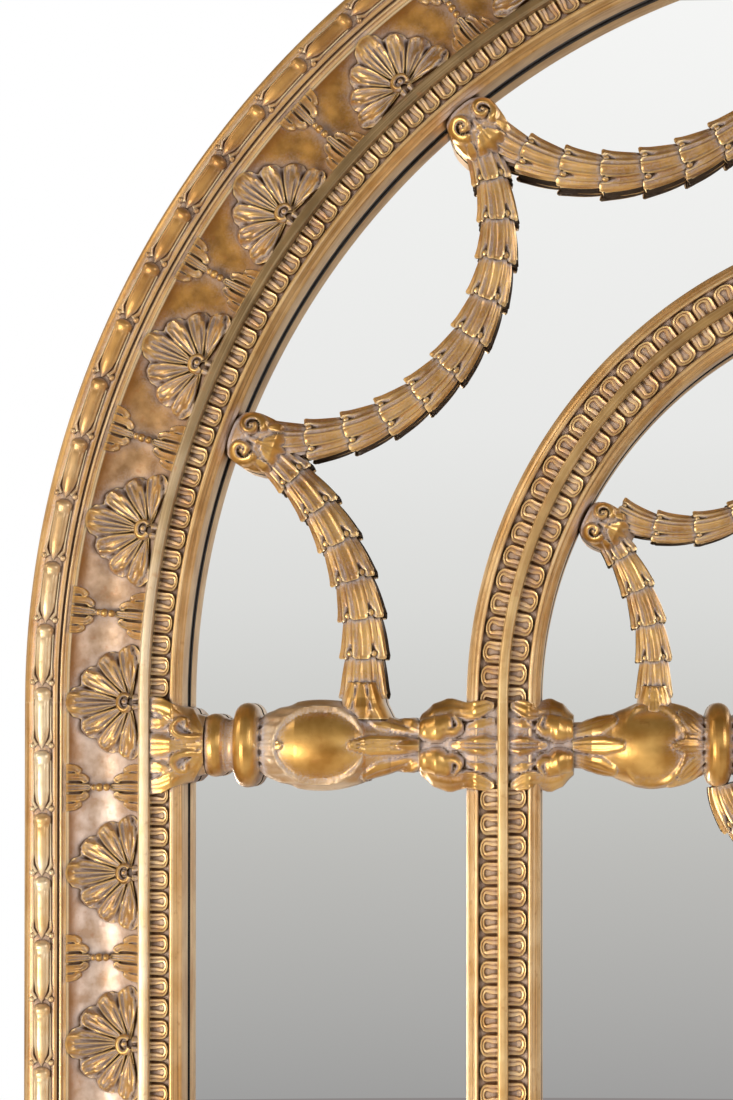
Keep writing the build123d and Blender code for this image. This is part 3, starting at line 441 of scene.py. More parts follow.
def joined(parts):
    """Join (points, faces) parts into one."""
    points, faces, start = [], [], 0
    for some_points, some_faces in parts:
        points.append(np.asarray(some_points, float))
        faces += [[i + start for i in face] for face in some_faces]
        start += len(some_points)
    return np.concatenate(points), faces


def grid_faces(rows, columns, around=False):
    """Quads between rows of points, closed across the columns where asked."""
    span = columns if around else columns - 1
    return [[r * columns + c, r * columns + (c + 1) % columns,
             (r + 1) * columns + (c + 1) % columns,
             (r + 1) * columns + c] for r in range(rows - 1) for c in range(span)]


def loft(rows):
    """A closed solid through rows of points, each row a loop."""
    count, points = len(rows[0]), np.concatenate(rows)
    ends = [list(range(count)), list(range(len(points) - count, len(points)))]
    return points, grid_faces(len(rows), count, around=True) + ends


def side_pieces(name, points, faces, node=None, sharp=50):
    """A left piece and its mirror image, each in place of the node of its side."""
    made = []
    for side, some in (("left", points), ("right", mirrored(points))):
        label = name + "_" + side
        data = make_mesh(label, some, faces, leaf_gilding, sharp=sharp)
        made.append(piece(label, data, [node.replace("left", side)] if node else []))
    return made


# %% [markdown]
# ## Run mouldings
# A run moulding has one section all the way. On the real frame each strip is a length
# of shaped wood, cut and bent round the arch, mitred at the bottom corners. The
# section is a list of points: how far in from the outer edge, and how high above the
# plate. A step with four numbers is an arc through a middle point. Sweeping the section
# along a quarter of the arch and a stile gives the left side.

# %% Frame sizes, in millimetres
HALF_W = 610.0
BOTTOM_Z = -1130.0
SIGHT_R = 505.0
RING_R = 295.5
RAIL_Z = 62.0
PLATE = -20.0
MULLION_FOOT = 99.0                 # the mullions end under the sight moulding
ARCH_STEPS = 96
STILE_UV, BOTTOM_UV = 3000.0, 6000.0    # where their streaks start


def rounded(section, cut=0.5):
    """Sample arcs and take the sharpness off the corners, as gesso does."""
    line = [np.array(section[0], float)]
    for step in section[1:]:
        if len(step) == 2:
            line.append(np.array(step, float))
            continue
        a, m, b = line[-1], np.array(step[:2], float), np.array(step[2:], float)
        d = 2 * (a[0] * (m[1] - b[1]) + m[0] * (b[1] - a[1]) + b[0] * (a[1] - m[1]))
        sq = [p @ p for p in (a, m, b)]
        c = np.array([sq[0] * (m[1] - b[1]) + sq[1] * (b[1] - a[1]) + sq[2] * (a[1] - m[1]),
                      sq[0] * (b[0] - m[0]) + sq[1] * (a[0] - b[0]) + sq[2] * (m[0] - a[0])]) / d
        r = sqrt((a - c) @ (a - c))
        t0, tm, t1 = (atan2(*(p - c)[::-1]) for p in (a, m, b))
        sweep = (t1 - t0) % (2 * pi)
        if (tm - t0) % (2 * pi) > sweep:
            sweep -= 2 * pi
        count = max(4, int(abs(sweep) * r / 2.2))
        line += [c + r * np.array([cos(t0 + sweep * i / count), sin(t0 + sweep * i / count)])
                 for i in range(1, count)] + [b]
    out = []
    for i, p in enumerate(line):
        before, after = p - line[i - 1], line[(i + 1) % len(line)] - p
        lengths = sqrt(before @ before), sqrt(after @ after)
        if min(lengths) > 1e-6 and before @ after / (lengths[0] * lengths[1]) < 0.9:
            s = min(cut, lengths[0] / 3, lengths[1] / 3)
            start, end = p - before / lengths[0] * s, p + after / lengths[1] * s
            out += [start, (start + end) / 4 + p / 2, end]
        else:
            out.append(p)
    return np.array(out)


def run_rows(section, run, centre_r):
    """Rows of the section's points along one run on the left side, and their UVs."""
    u, h = section[:, 0] - centre_r, section[:, 1]
    r = HALF_W - u
    across = np.concatenate([[0.0], np.cumsum(np.hypot(np.diff(u), np.diff(h)))])
    if run == "arch":
        turns = [pi / 2 * i / ARCH_STEPS for i in range(ARCH_STEPS + 1)]
        steps = [(-r * cos(t), SPRING_Z + r * sin(t), t * HALF_W) for t in turns]
    elif run == "bottom":
        steps = [(side * r, BOTTOM_Z + u, side * r + BOTTOM_UV) for side in (-1.0, 1.0)]
    else:
        foot = BOTTOM_Z + (u if run == "stile" else MULLION_FOOT)
        steps = [(-r, z, SPRING_Z - z + STILE_UV) for z in (SPRING_Z, foot)]
    rows = [np.stack([x, PLATE - h, z + 0 * u], 1) for x, z, _ in steps]
    return rows, np.concatenate([np.stack([along + 0 * u, across], 1) for _, _, along in steps])


def run_moulding(name, section, node, material, centre_r=0.0, runs=("arch", "stile", "bottom")):
    """The pieces of one run moulding, each in place of its own node."""
    section = rounded(section)
    for run in runs:
        rows, uv = run_rows(section, run, centre_r)
        points, faces = loft(rows)
        sides = {run: points}
        if run != "bottom":
            sides = {run + "_left": points, run + "_right": mirrored(points)}
        for label, some in sides.items():
            data = make_mesh(name + "_" + label, some, faces, material, sharp=30, uv=uv)
            piece(name + "_" + label, data, [node(label)])
    print(name, "section points", len(section))


# %% Sections of the frame's mouldings
BEAD_SECTION = [(0, -10), (0, 21), (2.05, 25.95, 7.0, 28.0), (8.6, 28.0), (8.6, 37.0), (10.2, 38.0),
                (19.4, 38.0), (20.2, 37.4), (20.6, 37.0), (22.6, 38.3, 24.6, 37.6), (24.9, 35.4),
                (25.9, 35.4), (26.1, 37.4), (27.6, 37.4), (28.0, 36), (30.5, 36), (30.5, 16),
                (6, 16), (6, -10)]
COVE_SECTION = [(30.5, 36), (50.66, 23, 78.5, 42), (78.5, 16), (30.5, 16)]
FILLET_SECTION = [(78.5, 16), (78.5, 45), (79.5, 46), (84.2, 46), (85.2, 45), (85.2, 16)]
SIGHT_SECTION = [(85.2, 34.6), (97.4, 34.6), (97.9, 38.4), (99.2, 39.0, 100.5, 38.4), (101.0, 36.6),
                 (102.4, 34.9), (103.0, 33.0, 104.2, 31.8), (105, 30.6), (105, 0.3), (102, 0.3),
                 (102, 16), (85.2, 16)]
run_moulding("bead_moulding", BEAD_SECTION, lambda run: "bead_moulding_" + run, run_gilding)
run_moulding("cove_moulding", COVE_SECTION, lambda run: "cove_moulding_" + run, cove_gilding)
run_moulding("sight_moulding", SIGHT_SECTION, lambda run: "sight_moulding_" + run, lip_gilding)
run_moulding("raised_fillet", FILLET_SECTION, lambda run: "raised_fillets", fillet_gilding)

# %% [markdown]
# The inner arch and its mullions have one section too: a raised fillet in the
# middle, a strip for the small tongues on each side, and an edge moulding that falls to
# the plate.

# %% Inner arch
FILLET_HALF = 3.35
RING_HALF = 24.0
half = [(FILLET_HALF, 30), (FILLET_HALF, 32.4), (15.6, 32.4), (16.2, 36.6), (17.3, 37.2),
        (18.6, 36.4), (19.2, 34.2), (20.4, 33.4), (21.8, 32.0), (22.9, 29.4), (RING_HALF, 27.5),
        (RING_HALF, 1.0)]
RING_SECTION = [(-v, h) for v, h in reversed(half)] + half
RING_FILLET = [(-FILLET_HALF, 30), (-FILLET_HALF, 42), (-2.35, 43), (2.35, 43), (FILLET_HALF, 42),
               (FILLET_HALF, 30)]
RING_U = RING_R - HALF_W
run_moulding("inner_arch", RING_SECTION, lambda run: run.replace("arch", "inner_arch"),
             lip_gilding, centre_r=RING_U, runs=("arch", "mullion"))
run_moulding("inner_fillet", RING_FILLET, lambda run: "raised_fillets", inner_fillet_gilding,
             centre_r=RING_U, runs=("arch", "mullion"))

# %% [markdown]
# ## The plate
# The silver is on the back of 4 mm glass. Seen from the front, glass makes it look
# 2.7 mm below the surface. The reflecting face is modelled at that depth, so the lip and
# its reflection stand apart by the thin dark line that the photograph shows.

# %% Mirror plate
PLATE_R = 517.0
SILVER_Y, PLATE_BACK = PLATE + 2.7, PLATE + 4.0
PLATE_FOOT = BOTTOM_Z + HALF_W - PLATE_R
turns = [pi * i / ARCH_STEPS for i in range(ARCH_STEPS + 1)]
outline = [(-PLATE_R * cos(t), SPRING_Z + PLATE_R * sin(t)) for t in turns]
outline += [(PLATE_R, PLATE_FOOT), (-PLATE_R, PLATE_FOOT)]
solid = loft([[(x, y, z) for x, z in outline] for y in (SILVER_Y, PLATE_BACK)])
piece("silvered_plate", make_mesh("silvered_plate", *solid, silver), ["mirror_plate"])

# %% [markdown]
# ## Carving with strokes
# Carved leaves are built the way a modeller adds clay: strokes laid over a ground. A
# stroke has a spine, half-widths along it and a height. Where strokes cross, the highest
# wins, which leaves the crisp valleys between leaves. A stroke can be dished, with a
# raised rim, and it can have ribs along it.

# %% Strokes
def curve(points, count=14):
    """A smooth line through given points."""
    p = np.asarray(points, float)
    if len(p) == 2:
        return p[0] + (p[1] - p[0]) * np.linspace(0, 1, count)[:, None]
    p = np.concatenate([[2 * p[0] - p[1]], p, [2 * p[-1] - p[-2]]])
    out = []
    for i in range(len(p) - 3):
        for t in np.linspace(0, 1, count, endpoint=i == len(p) - 4):
            out.append(0.5 * (2 * p[i + 1] + (p[i + 2] - p[i]) * t
                              + (2 * p[i] - 5 * p[i + 1] + 4 * p[i + 2] - p[i + 3]) * t ** 2
                              + (3 * p[i + 1] - p[i] - 3 * p[i + 2] + p[i + 3]) * t ** 3))
    return np.array(out)


def spread(values, share):
    """Values given at even steps, read at any share of the way."""
    return np.interp(share, np.linspace(0, 1, len(values)), values)


def bump(x, middle, width):
    return np.exp(-((x - middle) / width) ** 2)


def stroke(x, y, spine, widths, heights, dish=0.0, ribs=0, square=2.4):
    """Height of one stroke over the points (x, y)."""
    line = curve(spine)
    run = np.concatenate([[0], np.cumsum(np.hypot(*np.diff(line, axis=0).T))])
    run /= run[-1]
    best, share, side = np.full(np.shape(x), 1e9), np.zeros(np.shape(x)), np.zeros(np.shape(x))
    for a, b, sa, sb in zip(line[:-1], line[1:], run[:-1], run[1:]):
        d = b - a
        t = np.clip(((x - a[0]) * d[0] + (y - a[1]) * d[1]) / (d @ d), 0, 1)
        ex, ey = x - a[0] - d[0] * t, y - a[1] - d[1] * t
        away = np.hypot(ex, ey)
        near = away < best
        best = np.where(near, away, best)
        share = np.where(near, sa + (sb - sa) * t, share)
        side = np.where(near, np.sign(d[0] * ey - d[1] * ex), side)
    w, h = spread(widths, share), spread(heights, share)
    p = best / w
    body = np.clip(1 - p ** square, 0, None) ** 0.5
    body = body * (1 - dish * np.clip(1 - (p / 0.8) ** 2, 0, 1))
    if ribs:
        body = body + 0.10 * np.cos(2 * pi * ribs * p * side / 2) * np.clip(1 - p ** 4, 0, 1)
    return np.where(p < 1, h * body, 0)


def carved(x, y, strokes, both=True):
    """The highest of the strokes, and of their mirror images over y = 0."""
    x, y = np.broadcast_arrays(x, y)
    top = np.zeros(np.shape(x))
    for each in strokes:
        top = np.maximum(top, stroke(x, y, **each))
        if both and any(abs(p[1]) > 1e-6 for p in each["spine"]):
            top = np.maximum(top, stroke(x, -y, **each))
    return top


def leaf(spine, widths, heights, **shape):
    """One stroke, to be laid by carved."""
    return dict(spine=spine, widths=widths, heights=heights, **shape)


def remapped(strokes, scale, shift=0.0):
    """The same strokes, scaled and shifted along x."""
    return [dict(s, spine=[(x * scale + shift, y) for x, y in s["spine"]]) for s in strokes]


def relief(x, y, z, base):
    """A closed solid under a grid of heights, with walls down to a flat base."""
    x, y, z = np.broadcast_arrays(x, y, z)
    rows, columns = np.shape(x)
    top = np.stack([x, y, z], -1).reshape(-1, 3)
    rim = list(range(columns)) + [r * columns + columns - 1 for r in range(1, rows)]
    rim += [(rows - 1) * columns + c for c in range(columns - 2, -1, -1)]
    rim += [r * columns for r in range(rows - 2, 0, -1)]
    low = top[rim].copy()
    low[:, 2] = base
    count, start = len(rim), len(top)
    faces = grid_faces(rows, columns)
    faces += [[rim[i], rim[(i + 1) % count], start + (i + 1) % count, start + i]
              for i in range(count)]
    return np.concatenate([top, low]), faces + [list(range(start, start + count))]


def cord(spine, widths, heights, base, across=5):
    """A half-round cord along a spine, closed at both ends."""
    line = np.asarray(spine, float)
    way = np.gradient(line, axis=0)
    way /= np.hypot(*way.T)[:, None]
    v = np.concatenate([np.linspace(-1, 1, across), [1, -1]])
    top = np.sqrt(np.clip(1 - np.abs(v) ** 2.2, 0.04, 1))
    share, rows = np.linspace(0, 1, len(line)), []
    for (x, y), (dx, dy), w, h in zip(line, way, spread(widths, share), spread(heights, share)):
        z = base + np.where(np.arange(across + 2) < across, h * top, -1.0)
        rows.append(np.stack([x - dy * w * v, y + dx * w * v, z], 1))
    return loft(rows)


def ball(centre, r, sides=8, rings=4, flat=1.0):
    """A bead, squashed in height where asked."""
    points = []
    for i in range(1, rings):
        a = pi * i / rings
        points += [(r * sin(a) * cos(2 * pi * k / sides), r * sin(a) * sin(2 * pi * k / sides),
                    r * cos(a) * flat)
                   for k in range(sides)]
    points = np.array(points + [(0, 0, r * flat), (0, 0, -r * flat)]) + centre
    faces = grid_faces(rings - 1, sides, around=True)
    last = (rings - 1) * sides
    faces += [[last, k, (k + 1) % sides] for k in range(sides)]
    faces += [[last + 1, last - sides + (k + 1) % sides, last - sides + k] for k in range(sides)]
    return points, faces


def stand(points, x, z, along):
    """Put local points (along, outwards, height above the plate) on the wall plane."""
    p = np.asarray(points, float)
    dx, dz = along
    return np.stack([x + p[:, 0] * dx - p[:, 1] * dz, PLATE - p[:, 2],
                     z + p[:, 0] * dz + p[:, 1] * dx], 1)


def laid(unit, places):
    """Copies of a unit at the given places."""
    points, faces = unit
    return joined([(stand(points, *place), faces) for place in places])


def arch_place(r, deg):
    a = radians(deg)
    return -r * cos(a), SPRING_Z + r * sin(a), (sin(a), cos(a))


# %% [markdown]
# ## Shells and bows in the cove
# A shell is a pleated fan on a boss. One broad striped lobe points outwards, and three
# plump drops lie on each side of it. It follows the cove, lifted in the middle, so it
# throws a shadow. A bow is two tufts of fluted lobes back to back, one to each edge of
# the cove, tied with three beads.

# %% Shells and bows
COVE_A, COVE_B, COVE_C = (30.5, 36.0), (50.66, 23.0), (78.5, 42.0)
COVE_BACK = 18.0                    # the ornaments' backs lie under the cove
SHELL_END, COVE_END = 77.0, 78.0    # how far out the ornaments follow it
cove_line = rounded([COVE_A, COVE_B + COVE_C])


def cove_h(u):
    return np.interp(u, cove_line[:, 0], cove_line[:, 1])


def fan_grid(outline, rows, step, inner=3.0):
    """A polar grid whose rim follows a table of (angle from outwards, reach)."""
    angle = np.arange(outline[0][0], outline[-1][0] + 0.01, step)
    reach = np.interp(angle, *zip(*outline))
    t = np.linspace(0, 1, rows)[:, None]
    ray = inner + (reach - inner) * t
    a = np.radians(angle)
    return ray * np.sin(a), ray * np.cos(a), t, angle


def both_sides(half):
    """A symmetric outline from its half, given from the middle."""
    return [(-a, r) for a, r in reversed(half[1:])] + list(half)


def ray_stroke(a, start, end, bend=0.0, **shape):
    """A stroke along a ray, its end bent sideways by some degrees."""
    mid = start + (end - start) * 0.6
    return dict(spine=[(r * sin(radians(b)), r * cos(radians(b)))
                       for r, b in ((start, a), (mid, a), (end, a + bend))], **shape)


BOSS_U = 71.5
SHELL_RIM = both_sides([
    (0, 41.0), (5, 40.6), (10, 39.8), (14, 38.6), (17, 35.6), (19, 34.6), (23, 36.2), (32, 37.4),
    (40, 36.0), (44, 33.6), (46, 33.2), (50, 35.0), (60, 36.8), (69, 35.4), (73, 33.4), (75, 33.2),
    (80, 35.4), (88, 37.6), (95, 36.8), (100, 34.6), (105, 31.5)])
x, y, t, angle = fan_grid(SHELL_RIM, 22, 1.6)
plump = dict(widths=[0.9, 2.6, 4.2, 5.6, 6.7, 6.6, 5.6],
             heights=[2.4, 4.4, 6.0, 6.8, 6.8, 6.2, 5.4],
             ribs=3, dish=0.48, square=2.8)
drops = [ray_stroke(a, 7.0, r, bend, **plump)
         for a, r, bend in ((31.5, 31.6, -2), (60, 31.0, -3), (88, 31.8, -4))]
drops += remapped(drops, -1)
lobe = ray_stroke(0, 8.0, 36.0, widths=[1.2, 4.2, 7.0, 9.0, 9.4, 7.5],
                  heights=[2.2, 4.0, 5.4, 6.0, 5.6, 4.6], ribs=5, dish=0.45, square=3.0)
u = BOSS_U - y
pleats = 0.45 * np.cos(np.radians(angle) * 52) * np.clip(t * 1.8, 0, 1)
rise = 2.6 * np.sin(pi * np.clip(t * 0.96 + 0.04, 0, 1)) * np.interp(u, [62, 78], [1, 0.25])
carving = rise + pleats + carved(x, y, drops + [lobe], both=False)
shell_top = cove_h(np.clip(u, COVE_A[0], SHELL_END)) + 1.5 + carving
ring_turn = [(5.0 * sin(a), 3.0 + 4.0 * cos(a)) for a in np.linspace(-2.7, 2.4, 18)]
shell_unit = joined([relief(x, y, shell_top, COVE_BACK), ball((0.4, 3.0, 39.0), 2.3, 10, 5),
                     cord(ring_turn, [2.2, 2.0, 1.5], [5.6, 5.2, 4.4], 36.8, 6)]
                    + [cord([(side * 2.8, -2.6), (side * 2.8, -7.0)], [2.2], [5.4], 36.8)
                       for side in (-1, 1)])


def bow_fan(knot_u, way, reach):
    """Half a bow: fluted lobes that start on two diagonals and run to the cove's edge."""
    x, y = np.meshgrid(np.arange(-18.0, 18.1, 0.6), np.arange(-0.4, reach + 0.3, 0.75))
    k, end = reach / 17.0, reach + 3
    strokes = [leaf([(0, 2.6 * k), (0, 9 * k), (0, end)], [2.6, 3.3, 3.5], [5.4, 6.4, 5.0],
                    dish=0.3, ribs=3, square=2.6)]
    for lobe_x, near, wide in ((6.9, 4.6, 3.0), (12.9, 9.6, 2.8)):
        spine = [(lobe_x - 1.9, near * k), (lobe_x - 0.3, (near + 3.2) * k), (lobe_x, end)]
        for side in (-1, 1):
            strokes.append(leaf([(side * px, py) for px, py in spine], [wide * 0.9, wide, wide],
                                [6.6, 6.8, 5.2], dish=0.46, square=2.6))
    u = knot_u - y * way
    ground = cove_h(np.clip(u, COVE_A[0], COVE_END)) - 1.6
    points, faces = relief(x, y * way, ground + carved(x, y, strokes, both=False), COVE_BACK)
    points[:, 1] += MID_U - knot_u
    return points, faces if way > 0 else [face[::-1] for face in faces]


MID_U = 50.0
bow_unit = joined([bow_fan(45.0, 1, 14.3), bow_fan(55.5, -1, 22.8)]
                  + [ball((0, MID_U - q, 27.6), r, 10, 5)
                     for q, r in ((46.6, 2.2), (50.4, 2.9), (55.0, 2.6))])

STILE_SHELLS, BOTTOM_SHELLS, SHELL_DEG = 10, 10, 12.0
CORNER = COVE_A[0] + 24.0           # the rows stop here, in the mitred corners
stile_pitch = (SPRING_Z - BOTTOM_Z - CORNER) / (STILE_SHELLS + 0.5)
bottom_pitch = 2 * (HALF_W - CORNER) / BOTTOM_SHELLS
bottom_half = BOTTOM_SHELLS / 2


def cove_places(u, on_arch, shift):
    """Places on the left side, moved up by a share of their pitch."""
    places = [arch_place(HALF_W - u, (i + shift) * SHELL_DEG) for i in range(on_arch)]
    return places + [(-HALF_W + u, SPRING_Z - (i + 1 - shift) * stile_pitch, (0, 1))
                     for i in range(STILE_SHELLS)]


ROWS = [("shells", "shells", shell_unit, BOSS_U, cove_places(BOSS_U, 8, 0.0), [], 0.5),
        ("bows", "leaf_bows", bow_unit, MID_U, cove_places(MID_U, 7, 0.5),
         [arch_place(HALF_W - MID_U, 90.0)], 1.0)]
for name, node, unit, u, places, crown, first in ROWS:
    points, faces = laid(unit, places)
    made = {"left": (points, faces), "right": (mirrored(points), faces)}
    if crown:
        made["crown"] = laid(unit, crown)
    made["bottom"] = laid(unit, [(i * bottom_pitch, BOTTOM_Z + u, (-1, 0))
                                 for i in np.arange(first - bottom_half, bottom_half)])
    for label, part in made.items():
        data = make_mesh(name + "_" + label, *part, shell_gilding, sharp=50)
        piece(name + "_" + label, data, [node])
print("shell", len(shell_unit[1]), "faces, bow", len(bow_unit[1]), "faces")

# %% [markdown]
# ## Rows of small ornaments
# Three rows repeat one small unit all the way: the leaf-and-bead row near the outer edge
# and the rows of little tongues on the strips. One node tree lays them. Its inputs are
# the guide line, the unit, how many there are and the finish. It resamples the guide,
# turns each unit to the line with its face to the front, and a small random scale makes
# the casting look hand laid.

# %% The node tree for ornament runs
SMALLEST = 0.985
run_tree = bpy.data.node_groups.new("Ornament run", "GeometryNodeTree")
for name, kind in (("Guide", "Geometry"), ("Unit", "Object"), ("Count", "Int"),
                   ("Finish", "Material"), ("Seed", "Int")):
    run_tree.interface.new_socket(name=name, in_out="INPUT", socket_type="NodeSocket" + kind)
run_tree.interface.new_socket(name="Ornaments", in_out="OUTPUT", socket_type="NodeSocketGeometry")
given = add(run_tree, "NodeGroupInput").outputs
line = add(run_tree, "GeometryNodeMeshToCurve", {"Mesh": given["Guide"]})
even = add(run_tree, "GeometryNodeResampleCurve",
           {"Curve": line.outputs[0], "Count": given["Count"]})
along = add(run_tree, "GeometryNodeInputTangent")
turn = add(run_tree, "FunctionNodeAxesToRotation", {0: along.outputs[0], 1: (0.0, -1.0, 0.0)},
           primary_axis="X", secondary_axis="Z")
source = add(run_tree, "GeometryNodeObjectInfo", {"Object": given["Unit"]})
size = add(run_tree, "FunctionNodeRandomValue", {2: SMALLEST, 3: 1.0, "Seed": given["Seed"]})
each = add(run_tree, "GeometryNodeInstanceOnPoints", {
    "Points": even.outputs[0], "Instance": source.outputs["Geometry"], "Rotation": turn.outputs[0],
    "Scale": size.outputs[1]})
solid = add(run_tree, "GeometryNodeRealizeInstances", {0: each.outputs[0]})
painted = add(run_tree, "GeometryNodeSetMaterial",
              {"Geometry": solid.outputs[0], "Material": given["Finish"]})
add(run_tree, "NodeGroupOutput", {0: painted.outputs[0]})


def ornament_run(name, unit, line, pitch, finish, seed, mirror=False):
    """Lay a unit along a guide line of (x, z) points at about the given pitch."""
    line = np.asarray(line, float)
    count = round(np.hypot(*np.diff(line, axis=0).T).sum() / pitch) + 1
    guide = bpy.data.meshes.new("guide")
    guide.from_pydata([(x * MM, PLATE * MM, z * MM) for x, z in line],
                      [(i, i + 1) for i in range(len(line) - 1)], [])
    holder = new_object("guide", guide)
    unit_object = new_object("unit", make_mesh("unit", *unit, finish, sharp=50))
    laying = holder.modifiers.new("run", "NODES")
    laying.node_group = run_tree
    values = {"Unit": unit_object, "Count": count, "Finish": finish, "Seed": seed}
    for item in run_tree.interface.items_tree:
        if item.name in values:
            laying[item.identifier] = values[item.name]
    bpy.context.view_layer.update()
    made = bpy.data.meshes.new_from_object(
        holder.evaluated_get(bpy.context.evaluated_depsgraph_get()))
    made.name = name
    holder.modifiers.clear()
    for item in (holder, unit_object):
        bpy.data.objects.remove(item)
    piece(name + ("_left" if mirror else ""), made, [])
    if mirror:
        other = made.copy()
        flip = bmesh.new()
        flip.from_mesh(other)
        bmesh.ops.scale(flip, vec=(-1, 1, 1), verts=flip.verts)
        bmesh.ops.reverse_faces(flip, faces=flip.faces)
        flip.to_mesh(other)
        flip.free()
        other.name = name + "_right"
        piece(name + "_right", other, [])
    print(name, count, "units,", len(made.polygons), "faces")


# %% [markdown]
# A leaf bead is a long bud 41 mm long. It begins blunt, has a panel down its middle
# between two grooves, and tapers to a tip that points down the stile, between two small
# beads. The sepal beads belong to the next bud.

# %% Leaf beads
BUD_LEN, BUD_HALF, BUD_H = 41.4, 6.0, 6.4
s = np.linspace(0, 1, 22)[:, None]
v = np.linspace(-1, 1, 17)[None, :]
half_width = BUD_HALF * np.interp(s, [0, 0.02, 0.06, 0.12, 0.17, 0.24, 0.66, 0.82, 0.93, 1.0],
                                  [0.50, 0.80, 0.98, 1.0, 0.88, 0.86, 0.86, 0.72, 0.42, 0.06])
ridge_h = BUD_H * np.interp(s, [0, 0.03, 0.08, 0.13, 0.18, 0.26, 0.7, 0.9, 1.0],
                            [0.40, 0.80, 1.0, 0.98, 0.74, 0.90, 0.86, 0.62, 0.22])
round_part = np.sqrt(np.clip(1 - np.abs(v) ** 2.6, 0, 1))
groove = 0.26 * bump(np.abs(v), 0.68, 0.10) * np.interp(s, [0.13, 0.22, 0.9, 1], [0, 1, 0.7, 0])
bud_z = 37.6 + ridge_h * (round_part - groove)
bud_x = BUD_LEN / 2 - 0.5 - s * (BUD_LEN - 1.0)
wings = []
for side in (-1, 1):
    spine = [(BUD_LEN / 2 - 7.0, side * 5.4), (-BUD_LEN / 2 + 14.0, side * 5.5),
             (-BUD_LEN / 2 + 7.5, side * 6.0), (-BUD_LEN / 2 + 3.0, side * 3.4)]
    wings += [cord(spine, [0.45, 0.6, 1.5, 1.7], [1.2, 1.5, 3.0, 3.6], 37.4),
              ball((-BUD_LEN / 2 + 2.6, side * 6.2, 38.8), 2.1)]
leaf_bead = joined([relief(bud_x, half_width * v, bud_z, 36.8)] + wings)


def guide_line(u, foot):
    """Points up the left stile and round to the crown, u from the edge."""
    r = HALF_W - u
    points = [(-r, BOTTOM_Z + foot), (-r, SPRING_Z - 1.0)]
    return points + [(-r * cos(pi / 2 * i / 90), SPRING_Z + r * sin(pi / 2 * i / 90))
                     for i in range(91)]


def bottom_line(u, foot):
    """The same between the bottom corners, each cut short by foot."""
    return [(side * (HALF_W - foot), BOTTOM_Z + u) for side in (1, -1)]


BEAD_U = 14.8
BUD_PHASE = 23.4                    # the row is set out from the crown
bead_foot = BEAD_U + BUD_LEN / 2
ornament_run("leaf_beads", leaf_bead, guide_line(BEAD_U, bead_foot + BUD_PHASE), BUD_LEN,
             bead_gilding, 3, mirror=True)
ornament_run("leaf_beads_bottom", leaf_bead, bottom_line(BEAD_U, bead_foot), BUD_LEN,
             bead_gilding, 4)

# %% [markdown]
# A tongue is a lobe with a raised rim and a slot down its middle. The slot widens to a
# hole at the round end, which lies away from the raised fillet. The lobe touches the
# next one.

# %% Tongues
# How far from the slot to the edge, as a share, and how high
TONGUE_SECTION = [(1.0, -0.6), (0.96, 2.1), (0.84, 3.4), (0.68, 3.2), (0.54, 1.9), (0.42, 2.4),
                  (0.18, 2.2), (0.0, -0.6)]


def tongue(pitch, width, base, way=-1):
    """A lobe with a slot down its middle and its round end at the far side of a strip."""
    half, deep = pitch / 2 - 0.25, 0.29 * pitch
    end = deep - width / 2 + 0.25
    slot = [(0.08 + 0.92 * r, base + h) for r, h in TONGUE_SECTION]
    hole = [(0.24 + 0.76 * r, base + h) for r, h in TONGUE_SECTION]
    arm = (width / 2, (end + width / 2) / 2)
    rows = [[(r * half, y, z) for r, z in slot] for y in arm]
    rows += [[(r * half * cos(a), end - r * deep * sin(a), z) for r, z in hole]
             for a in np.linspace(0, pi, 7)]
    rows += [[(-r * half, y, z) for r, z in slot] for y in arm[::-1]]
    points, faces = loft(rows)
    return points * [1, -way, 1], faces


STRIP_H, STRIP_IN, STRIP_OUT = 34.6, 85.2, 97.6
PITCH, RING_PITCH = 13.86, 15.9
strip_u = (STRIP_IN + STRIP_OUT) / 2
frame_tongue = tongue(PITCH, STRIP_OUT - STRIP_IN, STRIP_H)
ornament_run("sight_tongues", frame_tongue, guide_line(strip_u, strip_u + PITCH), PITCH,
             tongue_gilding, 5, mirror=True)
ornament_run("sight_tongues_bottom", frame_tongue, bottom_line(strip_u, strip_u + PITCH), PITCH,
             tongue_gilding, 6)
for name, v, way in (("outer", -9.5, 1), ("inner", 9.5, -1)):
    guide = guide_line(HALF_W - RING_R + v, HALF_W - SIGHT_R + RING_PITCH)
    ornament_run("ring_tongues_" + name, tongue(RING_PITCH, 12.2, 32.4, way), guide,
                 RING_PITCH, tongue_gilding, 7, mirror=True)

# %% [markdown]
# ## Husk chains
# The swags and drops are strings of husks. A husk is a closed bud of three fluted
# petals, about 27 mm long, or 25 mm inside the inner arch. It is wider at its tip, with
# two beads there and the next one growing out of it. Its back is flat, 1.2 mm off the
# plate. Each is bent to its place on the chain's arc, and is narrower near the brackets.
# The arcs are the frame's own: two brackets, how far inside the sight edge the ends are,
# and how much of a circle the swag hangs in. The festoon hangs in half an oval.

# %% Husks
SWAG_AXIS, SWAG_SEAT = 13.0, 1.2
OUTER_HUSK = (26.5, 15.6, 11.6)
INNER_HUSK = (25.0, 12.2, 8.8)


